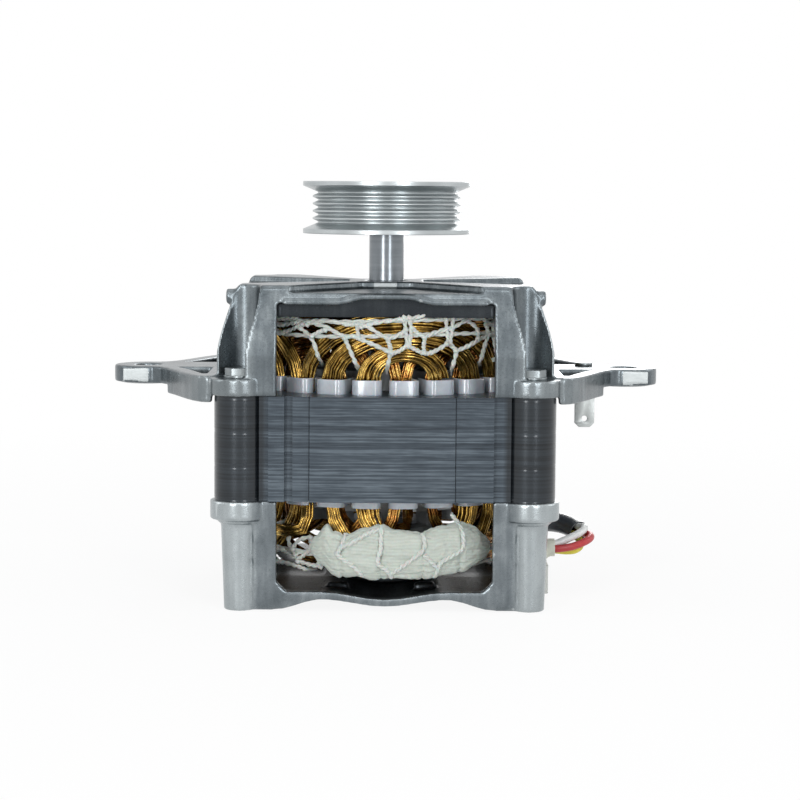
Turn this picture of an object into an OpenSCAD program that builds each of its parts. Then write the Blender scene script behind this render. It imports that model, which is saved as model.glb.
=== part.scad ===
// Washing machine motor: a small induction motor with a vertical shaft and a ribbed belt pulley.
// Origin on the shaft axis in the plane of the feet, +Z up along the shaft, front at -Y.

/* [Stator] */
// Width of the square lamination stack across its flats
stack_w = 103.5; // [102:0.5:106]
// Height of the lamination stack
stack_h = 31.8; // [26:0.2:40]
// Bore of the stator
stator_bore_d = 62; // [60:0.5:63]
// Width of a stator tooth
tooth_w = 2.8; // [2.4:0.05:2.9]
// Depth of a slot, from the bore to its bottom
slot_depth = 14.3; // [14:0.1:15]
// Radius of the round lobes at the corners of the laminations
lobe_r = 7.75; // [7:0.25:8]
// Height of the slot cuffs above the stack
cuff_top_h = 4.5; // [3:0.1:6]
// Height of the slot cuffs below the stack
cuff_low_h = 2.8; // [2:0.1:4]
// Thickness of the slot liner
liner_t = 0.3; // [0.2:0.05:0.35]

/* [Windings] */
// How far the middle of the main winding lies inside the slot bottoms
main_in = 3.3; // [3:0.05:3.5]
// How far the middle of the start winding lies inside that of the main winding
start_in = 5.1; // [4.8:0.05:5.4]
// Gap between two bundles that share a slot
bundle_gap = 0.45; // [0.42:0.01:0.5]
// Gap between a bundle and the liner of its slot
bundle_fit = 0.09; // [0.06:0.01:0.3]
// Reach of the widest end turns beyond the cuffs
end_turn_h = 19; // [17:0.5:20]
// Diameter of the lacing cord
lacing_d = 1.3; // [1:0.1:1.6]

/* [Bells] */
// Height of the bottom bell, from its feet to the stack
bottom_bell_h = 33.7; // [33:0.1:38]
// Height of the top bell above the stack
top_bell_h = 33.1; // [32.5:0.1:38]
// Wall of both bells
bell_wall = 3.2; // [2.6:0.1:3.6]
// Thickness of the top bell's roof at its corners
roof_t = 5; // [4.4:0.1:5.6]
// Width of each window between the corner posts
window_w = 65.4; // [60:0.2:66]
// Depth of the sunk faces between the arms of the roof
roof_sink = 2.2; // [1.6:0.1:2.4]
// How far the top bell's crown lies inside the flats of the stack
crown_in = 6.35; // [5.4:0.05:7]
// Radius of the flange bosses round the through bolts
boss_r = 9; // [8.6:0.1:9.4]
// Height of the top bell's flange bosses
top_boss_h = 5.1; // [4.4:0.1:6]
// Height of the bottom bell's flange bosses
low_boss_h = 5.9; // [5:0.1:7]
// Half width of the open flute in each corner post
flute_r = 6; // [5.6:0.1:6.3]

/* [Ears] */
// Distance between the two ear holes
ear_spacing = 152.4; // [150:0.2:156]
// Diameter of the ear holes
ear_hole_d = 8.5; // [7:0.1:10]
// Radius of the rounded tip of an ear
ear_tip_r = 10.7; // [9.5:0.1:12]
// Thickness of an ear
ear_t = 5.3; // [4.6:0.1:6]

/* [Bearings] */
// Radius of the spherical bearing bushes
bush_r = 12; // [11.6:0.1:12.2]
// Length of the bearing bushes
bush_l = 15; // [14:0.2:15.4]
// Outer radius of the bearing hubs
hub_r = 17; // [16.6:0.1:18]
// Radial running clearance of the shaft in its bushes
shaft_clearance = 0.03; // [0.02:0.01:0.06]

/* [Rotor] */
// Diameter of the shaft
shaft_d = 11.1; // [10:0.1:12]
// Air gap between rotor and stator
air_gap = 0.35; // [0.3:0.01:0.5]
// Height of the cast end rings
end_ring_h = 6; // [4:0.2:7]
// Height of the fan fins on the end rings
fin_h = 4.5; // [3:0.1:5]
// Visible shaft between the top bell's hub and the pulley
shaft_out = 15.4; // [12:0.2:20]

/* [Pulley] */
// Diameter over the pulley's rims
rim_d = 53.5; // [51:0.1:60]
// Diameter over the ribs
rib_d = 47.4; // [46.6:0.1:48.4]
// Diameter at the roots of the grooves
root_d = 44; // [43:0.1:45]
// Distance from groove to groove
rib_pitch = 2.34; // [2.3:0.02:2.5]
// Number of grooves
groove_count = 5; // [3:1:8]
// Thickness of each rim
rim_t = 1.4; // [1:0.1:2]

/* [Bolts and terminals] */
// Diameter of the through bolts
bolt_d = 5; // [4.5:0.1:5.3]
// Width across the flats of the bolt heads
bolt_af = 8; // [7:0.1:8.4]
// Height of the bolt heads
bolt_head_h = 3; // [2.5:0.1:4]
// Width of the ground tab
tab_w = 6.35; // [4.8:0.05:6.4]
// Length of the ground tab below the ear
tab_l = 14; // [10:0.5:18]
// Diameter of a lead wire
lead_d = 2.3; // [1.8:0.1:2.4]
// Diameter of the black sleeve over the leads
lead_sleeve_d = 6.4; // [5.6:0.1:6.6]

/* [Hidden] */
$fn = 48;
overcut = 1;

stack_half = stack_w / 2;
stack_z0 = bottom_bell_h;
stack_z1 = stack_z0 + stack_h;
bell_top = stack_z1 + top_bell_h;
bolt_c = stack_half - lobe_r;
corners = [[1, 1], [-1, 1], [-1, -1], [1, -1]];

// Stator slots and laminations
slot_count = 24;
slot_step = 360 / slot_count;
bore_r = stator_bore_d / 2;
tip_h = 0.9;
tip_slope = 1.6;
slot_open_w = 2.4;
slot_bottom_r = bore_r + slot_depth;
slot_r0 = bore_r + tip_h;
slot_round = 1.5;
liner_fit = 0.08;
cuff_lip = 0.35;
wedge_t = 0.8;
bolt_hole_r = bolt_d / 2 + 0.25;
flank_recess = 2.9;
strip_step = 0.9;
// Left edge and width of each strip on a flank of the stack
flank_strips = [[-35.1, 4.8], [-27.8, 4.9], [21.3, 11.4]];
block_x = [-22.7, 21.1];

// Windings
main_r = slot_bottom_r - main_in;
start_r = main_r - start_in;
main_d = pair_d(main_r);
start_d = pair_d(start_r);
bundle_sides = 6;
arc_steps = 10;
measure_step = 4;
loop_drop = 5;
turn_z1 = stack_z1 + cuff_top_h;
turn_z0 = stack_z0 - cuff_low_h;
main_link_r = main_r + main_d + 0.7;
start_link_r = start_r - start_d - 1;
main_first = 7.5;
start_first = 52.5;
start_low = 1.5;
lacing_low = 5;
lacing_in = 1.5;
lower_lacing_h = 7.6;
lacing_points = 60;
lacing_r = main_r + main_d / 2 + lacing_d / 2 + 0.15;
wrap_in = lacing_r + lacing_d / 2 + 0.15;
wrap_half = [2.45, 9];
wrap_z = turn_z0 - 13.2;
wrap_angles = [-118, -49];
wrap_ties = 3;
protector_z = turn_z0 - 14.5;

// Bells
bell_base_half = stack_half - 0.55;
crown_half = stack_half - crown_in;
lean_z = 12.5;
lean_power = 1.3;
crown_edge = 1;
roof_z = bell_top - roof_t;
window_top = roof_z - 0.3;
window_arch = 1.9;
// Half widths of the arch over a window, at its top and at its foot
arch_x = [7, 15];
arm_gap = [8, 30];
trim_in = 4;
foot_half = stack_half - 5.55;
bottom_half = [stack_half - 3.75, stack_half - 1.85];
foot_chamfer = [0.6, 1.2];
foot_edge_z = 3;
lip_crest = 19;
foot_x = window_w / 2 + 1.3;
lip_t = 2.4;
lip_centre_z = 1.3;
lip_crest_z = 3.5;
window_round = 3;
column_r = [4.8, 6];
column_wall = 2;
step_h = 1;
step_out = 0.8;
ridge_x = bolt_c - 4.4;
thread_end = 13;
jamb_depth = 12;
lean_steps = 6;
channel_steps = 16;
foot_xs = [for (i = [-10:10]) foot_x * i / 10];
crest_xs = [for (i = [-6:6]) lip_crest * i / 6];

// Ears
ear_x = ear_spacing / 2;
ear_z = stack_z1 + 0.4;
ear_neck_x = ear_x - 2.5;
ear_root = [stack_half + 2.25, stack_half - 5.75];
ear_inner_x = stack_half - 3.45;
ear_rim = 5.2;
ear_pad_r = ear_tip_r - 1.9;
ear_pad_t = 0.4;
skirt_w = 3;
skirt_drop = 2.8;
gate_pad = [8, 0.4, 4.2];
ear_steps = 8;
stub_r = 2.3;
stub_x = crown_half + 3.3;
stub_y = 9.4 - crown_half;
stub_z = roof_z + 1.2;
stub_l = 7.3;

// Bearings: in each bell the bush centre lies this far inside its outer plane
bearing_depth = 12.2;
upper_bush_z = bell_top - 11.6;
lower_bush_z = bearing_depth;
bush_fit = 0.05;
felt_r = [bush_r + 0.1, hub_r - 2.4];
cavity_r = hub_r - 2.2;
cavity_z = [-8, 4];
felt_z = [-5.7, 3.9];
clip_z = [-6.8, -6];
cap_t = 0.6;
cap_skirt = 5;
cap_hole_r = 7.6;
washer_t = 1.15;
end_play = 0.3;
slinger_t = 1;
slinger_r = 12;
shoulder_gap = bush_l / 2 + end_play + washer_t + slinger_t;
upper_shoulder_z = upper_bush_z - shoulder_gap;
lower_shoulder_z = lower_bush_z + shoulder_gap;
hub_top_r = 12;
hub_top_z = bell_top - 0.5;
roof_hole_r = shaft_d / 2 + 1.05;
plug_r = roof_hole_r + 1.4;

// Rotor
shaft_r = shaft_d / 2;
shoulder_r = shaft_r + 1.95;
rotor_r = bore_r - air_gap;
ring_r = [19, rotor_r - 1.6];
bar_count = 34;
bar_r = 1.5;
bar_circle_r = rotor_r - 3.2;
fin_count = 12;
fin_t = 2.2;
fin_l = 7;
fin_root = 0.5;
shaft_z0 = 4.2;

// Pulley
cone_h = 2.17;
pulley_z0 = hub_top_z + shaft_out;
pulley_h = 2 * (rim_t + cone_h) + (groove_count - 1) * rib_pitch;
tip_flat = 0.5;
root_flat = 0.4;
hub_in = 1;
shaft_in = 1.5;
pulley_hub_r = 10.5;
pulley_well_r = root_d / 2 - 3.2;
well_low = 5;
well_high = 7;

// How far a bolt's flange stands out from its flats, and its thickness
bolt_flange = [0.9, 0.8];

// Ground tab and connector
tab_t = 0.8;
tab_x = ear_x - 12.3;
tab_y = -2;
rivet_y = 4;
rivet_r = 1.6;
socket_w = 18;
socket_y = [window_round + 0.3 - window_w / 2, window_round + 0.3 - window_w / 2 + socket_w];
socket_z = [lip_crest_z + lip_t + 0.1, 11.4];
socket_x = [stack_half - 7.55, stack_half - 0.75];
socket_leg_z = 2.5;
terminal_count = 4;
terminal_pitch = 4;
socket_cell = 2.8;
socket_back = 2;

// Routes of the leads, hand picked, with X counted from the right flat of the stack
sleeve_route = [
    [-6.25, -2, 20.8], [-2.25, -2.2, 21.2], [1.75, -2.8, 21.3], [5.25, -4.4, 21],
    [8.35, -7.2, 20.2], [10.25, -10.8, 19.4]
];
white_route = [
    [10.45, -11.9, 21], [11.45, -14.6, 21.3], [11.05, -17.4, 20.9], [9.05, -19.8, 19.9],
    [6.05, -21.4, 18.7], [2.35, -22.2, 17.4]
];
red_route = [
    [11.55, -11.1, 19], [13.25, -14.2, 18.8], [13.15, -18, 18.4], [10.85, -21.2, 17.5],
    [6.85, -23.3, 16.4], [2.35, -24.2, 15.8]
];
yellow_route = [
    [9.35, -11.9, 18], [10.25, -14.8, 16.8], [9.85, -17.8, 15.6], [8.05, -20.2, 14.9],
    [5.65, -21.3, 14.8], [2.35, -21.9, 15]
];
collar_route = [
    [1.55, -22.8, 16.1], [-0.25, -22.8, 16], [-2.05, -22.8, 15.2], [-3.35, -22.8, 13.8],
    [-3.85, -22.8, 12.6], [-3.95, -22.8, 11.9]
];
collar_d = 5.6;
lead_sides = 8;

// Smooth step from 0 to 1
function ease(t) = (1 - cos(180 * t)) / 2;
function unit(v) = v / norm(v);
function polar(r, a, z) = [r * cos(a), r * sin(a), z];
// The part of v that is square to the unit vector t, at length one
function square_to(v, t) = unit(v - (v * t) * t);
function heading(path, i) = unit(path[min(i + 1, len(path) - 1)] - path[max(i - 1, 0)]);
function outward(p) = [p[0], p[1], 0];

// One ring of a tube round path point i; side is a direction square to the path
function ring(path, i, r, sides, side) =
    let (t = heading(path, i), u = square_to(side, t), w = cross(t, u))
    [for (k = [0:sides - 1]) path[i] + r * (cos(360 * k / sides) * u + sin(360 * k / sides) * w)];

// Triangles that join rings of points into a closed skin with two end fans
function skin(rings, sides) = concat(
    [for (i = [0:rings - 2], k = [0:sides - 1])
        let (a = i * sides + k, b = i * sides + (k + 1) % sides) [a, a + sides, b]],
    [for (i = [0:rings - 2], k = [0:sides - 1])
        let (a = i * sides + k, b = i * sides + (k + 1) % sides) [b, a + sides, b + sides]],
    [for (k = [1:sides - 2]) [0, k, k + 1]],
    [for (k = [1:sides - 2]) let (e = (rings - 1) * sides) [e, e + k + 1, e + k]]
);

// A tube along a path on a drum, whose rings face outward from the shaft axis
module drum_tube(path, r, sides) {
    points = [for (i = [0:len(path) - 1]) each ring(path, i, r, sides, outward(path[i]))];
    polyhedron(points = points, faces = skin(len(path), sides));
}

// A tube along a free route at the right flat, whose rings keep one side along the given direction
module route_tube(route, r, sides, side) {
    path = [for (p = route) p + [stack_half, 0, 0]];
    points = [for (i = [0:len(path) - 1]) each ring(path, i, r, sides, side)];
    polyhedron(points = points, faces = skin(len(path), sides));
}

// Copies a shape to the four corners of the motor
module at_corners(c) {
    for (s = corners) translate([s[0] * c, s[1] * c, 0]) children();
}

// Copies a shape to the four sides of the motor
module on_sides() {
    for (a = [0:90:270]) rotate(a) children();
}

function slot_w(r) = 2 * PI * r / slot_count - tooth_w;
// Diameter of the bundles that lie in pairs in the slots at radius r
function pair_d(r) = (slot_w(r) - 2 * (liner_fit + liner_t) - bundle_gap) / 2 - bundle_fit;

// Outline of a slot along +X, with every wall moved in by inset
module slot_shape(inset) {
    r_in = slot_r0 + inset;
    r_tip = slot_r0 + tip_slope;
    r_out = slot_bottom_r - inset;
    r_turn = slot_bottom_r - slot_round;
    w_in = slot_open_w / 2 + 0.3 - inset;
    w_tip = slot_w(r_tip) / 2 - inset;
    w_turn = slot_w(r_turn) / 2 - inset;
    polygon([
        [r_in, -w_in], [r_tip, -w_tip], [r_turn, -w_turn], [r_out, slot_round - w_turn],
        [r_out, w_turn - slot_round], [r_turn, w_turn], [r_tip, w_tip], [r_in, w_in]
    ]);
}

module at_slots() {
    for (i = [0:slot_count - 1]) rotate((i + 0.5) * slot_step) children();
}

module flank() {
    face = stack_half - strip_step;
    translate([block_x[0], -stack_half]) square([block_x[1] - block_x[0], stack_half]);
    for (s = flank_strips) translate([s[0], -face]) square([s[1], face]);
}

module stack_outline() {
    square(2 * (stack_half - flank_recess), center = true);
    on_sides() flank();
    at_corners(bolt_c) circle(lobe_r);
}

module stator_stack() {
    color("dimgray") translate([0, 0, stack_z0]) linear_extrude(stack_h) difference() {
        stack_outline();
        circle(bore_r, $fn = 96);
        at_corners(bolt_c) circle(bolt_hole_r);
        at_slots() {
            slot_shape(0);
            translate([bore_r - overcut, -slot_open_w / 2]) square([tip_h + 2 * overcut, slot_open_w]);
        }
    }
}

module liner_ring(grow) {
    difference() {
        slot_shape(grow);
        slot_shape(liner_fit + liner_t);
        translate([0, -slot_bottom_r / 2]) square([slot_r0 + wedge_t + 0.4, slot_bottom_r]);
    }
}

module slot_liners() {
    color("lavender") at_slots() {
        translate([0, 0, turn_z0]) linear_extrude(turn_z1 - turn_z0) liner_ring(liner_fit);
        translate([0, 0, turn_z0]) linear_extrude(cuff_low_h) liner_ring(-cuff_lip);
        translate([0, 0, stack_z1]) linear_extrude(cuff_top_h) liner_ring(-cuff_lip);
    }
}

module slot_wedges() {
    wedge_over = 1.5;
    wedge_l = stack_h + 2 * wedge_over;
    color("wheat") at_slots() translate([0, 0, stack_z0 - wedge_over])
        linear_extrude(wedge_l) intersection() {
            slot_shape(liner_fit);
            translate([0, -slot_bottom_r / 2]) square([slot_r0 + liner_fit + wedge_t, slot_bottom_r]);
        }
}

// Half the angle that coil j of a pole spans; the widest pair shares its slots with the next pole
function half_span(j, r, d) = [45 - asin((d + bundle_gap) / 2 / r), 30, 15][j];
function coil_h(j, reach) = reach - loop_drop * j;

// Top end turn of coil j round pole centre c
function over_arc(c, j, r, d, reach) = [for (i = [0:arc_steps])
    let (t = 180 * i / arc_steps)
    polar(r, c - half_span(j, r, d) * cos(t), turn_z1 + coil_h(j, reach) * sin(t))];

// Bottom end turn from coil j to the slot where coil j + 1 starts
function under_arc(c, j, r, d, reach) =
    let (a = c + half_span(j, r, d), b = c - half_span(j + 1, r, d))
    [for (i = [0:arc_steps])
        let (t = 180 * i / arc_steps)
        polar(r, (a + b) / 2 + (a - b) / 2 * cos(t), turn_z0 - coil_h(j, reach) * sin(t))];

// Link from the last coil of a pole, past its outer coils, to the first slot of the next pole
function link(c, r, d, link_r) = [
    polar(r, c + 15, turn_z0), polar((2 * r + link_r) / 3, c + 16, turn_z0 - 4),
    polar(link_r, c + 19.5, turn_z0 - 7.5), polar(link_r, c + 30, turn_z0 - 8.5),
    polar(link_r, c + 41, turn_z0 - 8.5), polar(link_r, c + 49.5, turn_z0 - 7),
    polar((2 * r + link_r) / 3, c + 49.3, turn_z0 - 3.5), polar(r, c + 90 - half_span(0, r, d), turn_z0)
];

function pole(c, r, d, reach, link_r, last) = concat(
    over_arc(c, 0, r, d, reach), under_arc(c, 0, r, d, reach),
    over_arc(c, 1, r, d, reach), under_arc(c, 1, r, d, reach),
    over_arc(c, 2, r, d, reach),
    last ? [polar(r, c + 15, turn_z0), polar(r, c + 15, turn_z0 - 4)] : link(c, r, d, link_r)
);

// The whole unbroken path of a winding with four poles of three coils
function winding(first, r, d, reach, link_r) = concat(
    [polar((2 * r + link_r) / 3, first - 41, turn_z0 - 3.5), polar(r, first - half_span(0, r, d), turn_z0)],
    [for (p = [0:3]) each pole(first + 90 * p, r, d, reach, link_r, p == 3)]
);

// Points every few millimetres along a path
function finer(path) = [for (i = [0:len(path) - 2])
    let (a = path[i], b = path[i + 1], n = ceil(norm(b - a) / measure_step))
    for (k = [0:n - 1]) a + (b - a) * k / n];
// Least gap between stretches of a tube that aren't neighbours
function least_gap(path, d) =
    let (p = finer(path), skip = 4)
    min([for (i = [0:len(p) - skip - 1]) min([for (j = [i + skip:len(p) - 1]) norm(p[i] - p[j])])]) - d;

module main_winding() {
    path = winding(main_first, main_r, main_d, end_turn_h, main_link_r);
    echo(main_winding_loops = 12, least_gap = least_gap(path, main_d));
    color("darkgoldenrod") drum_tube(path, main_d / 2, bundle_sides);
}

module start_winding() {
    path = winding(start_first, start_r, start_d, end_turn_h - start_low, start_link_r);
    echo(start_winding_loops = 12, least_gap = least_gap(path, start_d));
    color("goldenrod") drum_tube(path, start_d / 2, bundle_sides);
}

// Lacing cord that zigzags round the outside of the end turns
module lacing(z_low, z_high) {
    path = [for (i = [0:lacing_points - 1])
        polar(lacing_r, 96 + 354 * i / (lacing_points - 1), i % 2 == 0 ? z_low : z_high)];
    drum_tube(path, lacing_d / 2, bundle_sides);
}

module upper_lacing() {
    color("ghostwhite") lacing(turn_z1 + lacing_low, turn_z1 + end_turn_h - lacing_in);
}

module lower_lacing() {
    color("ghostwhite") lacing(turn_z0 - end_turn_h, turn_z0 - end_turn_h + lower_lacing_h);
}

// White cloth sleeve over the joints of the leads, tied to the front of the lower end turns
module winding_sleeve() {
    rings = 24;
    sides = 12;
    centre_r = wrap_in + wrap_half[0];
    points = [for (i = [0:rings - 1], k = [0:sides - 1])
        let (
            t = i / (rings - 1),
            a = wrap_angles[0] + (wrap_angles[1] - wrap_angles[0]) * t,
            round_end = sqrt(1 - pow(abs(2 * t - 1), 3) * 0.8),
            waist = 1 - 0.1 * pow(cos(180 * (wrap_ties + 1) * t), 8),
            q = 360 * k / sides,
            z = wrap_z + wrap_half[1] * round_end * waist * sin(q)
        ) polar(centre_r - wrap_half[0] * cos(q), a, z)];
    color("whitesmoke") polyhedron(points = points, faces = skin(rings, sides));
}

module thermal_protector() {
    body = [13, 4.6, 9];
    color("black") rotate(-10) translate([0, wrap_in + body[1] / 2, protector_z]) {
        cube(body, center = true);
        for (s = [-1, 1]) translate([s * 3, 0, body[2] / 2]) cube([3, 0.8, 3], center = true);
    }
}

// Mirrors a half outline across the axis and closes it
function both_sides(half) = concat(half, [for (i = [len(half) - 1:-1:0]) [-half[i][0], half[i][1]]]);

// A square block whose four sides all follow one profile
module square_block(half) {
    length = 3 * stack_half;
    intersection() {
        rotate([90, 0, 0]) linear_extrude(length, center = true) polygon(both_sides(half));
        rotate([90, 0, 90]) linear_extrude(length, center = true) polygon(both_sides(half));
    }
}

// Outer half outline of the top bell, moved in by t
function top_profile(t, top) = concat(
    [[bell_base_half - t, stack_z1 - (t > 0 ? overcut : 0)]],
    [for (i = [0:lean_steps])
        let (f = i / lean_steps)
        [bell_base_half - t - (bell_base_half - crown_half) * pow(f, lean_power),
            stack_z1 + lean_z + (top - crown_edge - stack_z1 - lean_z) * f]],
    [[crown_half - t - crown_edge, top]]
);

// A prism at each corner that reaches outward from (c, c), with a round inner end
module corner_channel(c, r, z0, z1) {
    round_end = [for (i = [0:channel_steps])
        let (a = 90 + 180 * i / channel_steps)
        [r * cos(a), r * sin(a)]];
    for (s = corners) translate([s[0] * c, s[1] * c, z0]) rotate(atan2(s[1], s[0]))
        linear_extrude(z1 - z0) polygon(concat(round_end, [[4 * r, -r], [4 * r, r]]));
}

// A block square in plan at corner s that spans the same stretch of X and of Y
module corner_block(s, from, to, z0, z1) {
    side = to - from;
    translate([s[0] > 0 ? from : -to, s[1] > 0 ? from : -to, z0]) cube([side, side, z1 - z0]);
}

// Keeps what lies outside a round boss from the square corner of a bell
module corner_trim(from, r, z0, z1) {
    for (s = corners) difference() {
        corner_block(s, from, stack_w, z0, z1);
        translate([s[0] * bolt_c, s[1] * bolt_c, z0 - overcut]) cylinder(r = r, h = z1 - z0 + 2 * overcut);
    }
}

module top_window() {
    w = window_w / 2;
    rotate([90, 0, 0]) linear_extrude(jamb_depth, center = true) polygon([
        [-w, stack_z1 - overcut], [w, stack_z1 - overcut], [w, window_top], [arch_x[1], window_top],
        [arch_x[0], window_top + window_arch], [-arch_x[0], window_top + window_arch],
        [-arch_x[1], window_top], [-w, window_top]
    ]);
}

module top_hollow() {
    difference() {
        square_block(top_profile(bell_wall, roof_z));
        corner_channel(bolt_c, flute_r + bell_wall, stack_z1, roof_z + overcut);
    }
}

// Sunk face between two arms of the roof
module roof_sink_face() {
    translate([0, 0, bell_top - roof_sink]) linear_extrude(roof_sink + overcut) polygon([
        [-arm_gap[0], -hub_top_r], [arm_gap[0], -hub_top_r],
        [arm_gap[1], -crown_half - overcut], [-arm_gap[1], -crown_half - overcut]
    ]);
}

function ear_edge(t) = [
    ear_root[0] + (ear_neck_x - ear_root[0]) * t,
    ear_root[1] + (ear_tip_r - ear_root[1]) * ease(t)
];

module ear_outline() {
    edge = [for (i = [0:ear_steps]) ear_edge(i / ear_steps)];
    far = concat([[ear_inner_x, ear_root[1]]], edge, [[ear_x, ear_tip_r]]);
    polygon(concat(far, [for (i = [len(far) - 1:-1:0]) [far[i][0], -far[i][1]]]));
    translate([ear_x, 0]) circle(ear_tip_r);
}

// One of the two open pockets between an ear's rim and the body
module ear_pocket() {
    first = 0.3;
    last = 0.86;
    inner = ear_root[0] + 0.8;
    edge = [for (i = [0:5])
        let (e = ear_edge(first + (last - first) * i / 5))
        [max(inner + 0.5, e[0] - ear_rim), e[1] - 1.5]];
    polygon(concat([[inner, edge[0][1]]], edge, [[inner, edge[5][1]]]));
}

module ear_skirt() {
    edge = [for (i = [0:6]) ear_edge(0.75 * i / 6)];
    polygon(concat(edge, [for (i = [6:-1:0]) edge[i] - [skirt_w, i == 0 ? 0.5 : 1.5]]));
}

module ear() {
    translate([0, 0, ear_z]) linear_extrude(ear_t) difference() {
        ear_outline();
        ear_pocket();
        mirror([0, 1]) ear_pocket();
    }
    translate([ear_x, 0, ear_z - ear_pad_t]) cylinder(r = ear_pad_r, h = ear_pad_t + 1);
    for (m = [0, 1]) mirror([0, m, 0]) {
        translate([0, 0, ear_z - skirt_drop]) linear_extrude(skirt_drop + overcut) difference() {
            ear_skirt();
            translate([0, -stack_half]) square([stack_half + 0.5, 2 * stack_half]);
        }
        translate([ear_x - 1, ear_tip_r, ear_z + (ear_t - gate_pad[2]) / 2]) cube(gate_pad);
    }
}

// Space for one bearing: the bush centre is at the origin and the rotor lies below it
module bearing_space() {
    sphere(bush_r + bush_fit, $fn = 96);
    translate([0, 0, cavity_z[0] - overcut]) cylinder(r = cavity_r, h = cavity_z[1] - cavity_z[0] + overcut);
}

module top_bell() {
    boss_top = stack_z1 + top_boss_h;
    hub_z0 = upper_bush_z + cavity_z[0];
    color("lightslategray") difference() {
        union() {
            difference() {
                square_block(top_profile(0, bell_top));
                top_hollow();
                on_sides() translate([0, -bell_base_half + 1, 0]) top_window();
                on_sides() roof_sink_face();
                corner_trim(bolt_c - trim_in, boss_r, stack_z1 - overcut, boss_top);
            }
            at_corners(bolt_c) translate([0, 0, stack_z1]) cylinder(r = boss_r, h = top_boss_h);
            translate([0, 0, hub_z0]) cylinder(r = hub_r, h = bell_top - roof_sink - hub_z0);
            translate([0, 0, roof_z]) cylinder(r = hub_top_r, h = hub_top_z - roof_z);
            for (m = [0, 1]) mirror([m, 0, 0]) {
                ear();
                translate([stub_x - stub_l, stub_y, stub_z]) rotate([0, 90, 0])
                    cylinder(r = stub_r, h = stub_l);
            }
        }
        corner_channel(bolt_c, flute_r, boss_top, bell_top + overcut);
        at_corners(bolt_c) translate([0, 0, stack_z1 - overcut])
            cylinder(r = bolt_hole_r, h = top_boss_h + 2 * overcut);
        translate([0, 0, upper_bush_z]) bearing_space();
        translate([0, 0, roof_z]) cylinder(r = roof_hole_r, h = roof_t + overcut);
        translate([0, 0, ear_z - overcut]) {
            hole_l = ear_t + 2 * overcut;
            for (s = [-1, 1]) translate([s * ear_x, 0, 0]) cylinder(r = ear_hole_d / 2, h = hole_l);
            translate([tab_x, rivet_y, 0]) cylinder(r = rivet_r, h = hole_l);
        }
    }
}

// Height of the under edge and of the upper edge of the bottom bell's wavy lip
function lip_under(x) = let (u = abs(x))
    u < lip_crest ? lip_centre_z + (lip_crest_z - lip_centre_z) * ease(u / lip_crest)
    : u < foot_x ? lip_crest_z * (1 - ease((u - lip_crest) / (foot_x - lip_crest))) : 0;
function lip_over(x) = let (u = min(abs(x), lip_crest))
    lip_centre_z + lip_t + (lip_crest_z - lip_centre_z) * ease(u / lip_crest);

module bottom_window() {
    w = window_w / 2;
    shelf = lip_crest_z + lip_t;
    rotate([90, 0, 0]) linear_extrude(jamb_depth, center = true) polygon(concat(
        [[w, stack_z0 + overcut], [-w, stack_z0 + overcut]],
        [[-w, shelf + window_round], [window_round - w, shelf]],
        [for (x = crest_xs) [x, lip_over(x)]],
        [[w - window_round, shelf], [w, shelf + window_round]]
    ));
}

module foot_arch() {
    rotate([90, 0, 0]) linear_extrude(jamb_depth, center = true)
        polygon(concat([[-foot_x, -overcut]], [for (x = foot_xs) [x, lip_under(x)]], [[foot_x, -overcut]]));
}

// Floor channel that runs out from the hub to the middle of a side
module floor_channel(length) {
    last = len(crest_xs) - 1;
    rotate([90, 0, 0]) linear_extrude(length) polygon(concat(
        [for (x = crest_xs) [x, lip_under(x)]],
        [for (i = [last:-1:0]) [crest_xs[i], lip_over(crest_xs[i])]]
    ));
}

module bottom_floor() {
    inner = bottom_half[0] - 1.5;
    on_sides() floor_channel(inner);
    for (s = corners) corner_block(s, lip_crest, inner, lip_crest_z, lip_crest_z + lip_t);
}

// Half outline of the bottom bell, moved in by t
function bottom_profile(t) = t > 0
    ? [[bottom_half[0] - t, -overcut], [bottom_half[1] - t, stack_z0 + overcut]]
    : [[foot_half, 0], [bottom_half[0] - foot_chamfer[0], foot_chamfer[1]], [bottom_half[0], foot_edge_z],
        [bottom_half[1], stack_z0]];

module columns(grow) {
    at_corners(bolt_c) cylinder(r1 = column_r[0] + grow, r2 = column_r[1] + grow, h = stack_z0);
}

module bottom_bell() {
    boss_z = stack_z0 - low_boss_h;
    hub_top = lower_bush_z - cavity_z[0];
    color("lightslategray") difference() {
        union() {
            difference() {
                square_block(bottom_profile(0));
                difference() {
                    square_block(bottom_profile(bell_wall));
                    columns(column_wall);
                }
                on_sides() translate([0, -bottom_half[0], 0]) {
                    bottom_window();
                    foot_arch();
                }
                difference() {
                    for (s = corners) corner_block(s, ridge_x, stack_w, -overcut, stack_z0 + overcut);
                    columns(0);
                }
            }
            columns(0);
            at_corners(bolt_c) translate([0, 0, boss_z]) cylinder(r = boss_r, h = low_boss_h);
            at_corners(bolt_c) translate([0, 0, boss_z - step_h])
                cylinder(r = column_r[1] + step_out, h = step_h);
            bottom_floor();
            translate([0, 0, lip_centre_z]) cylinder(r = hub_r, h = hub_top - lip_centre_z);
        }
        at_corners(bolt_c) translate([0, 0, thread_end]) cylinder(r = bolt_d / 2, h = stack_z0);
        translate([0, 0, lower_bush_z]) mirror([0, 0, 1]) bearing_space();
        translate([0, 0, -overcut]) cylinder(r = plug_r, h = lip_t + lip_centre_z + overcut);
    }
}

module through_bolts() {
    head_z = stack_z1 + top_boss_h;
    color("silver") at_corners(bolt_c) {
        translate([0, 0, thread_end + 1]) cylinder(r = bolt_d / 2, h = head_z - thread_end - 1);
        translate([0, 0, head_z]) cylinder(r = bolt_af / 2 + bolt_flange[0], h = bolt_flange[1]);
        translate([0, 0, head_z]) cylinder(d = bolt_af / cos(30), h = bolt_head_h, $fn = 6);
    }
}

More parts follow.
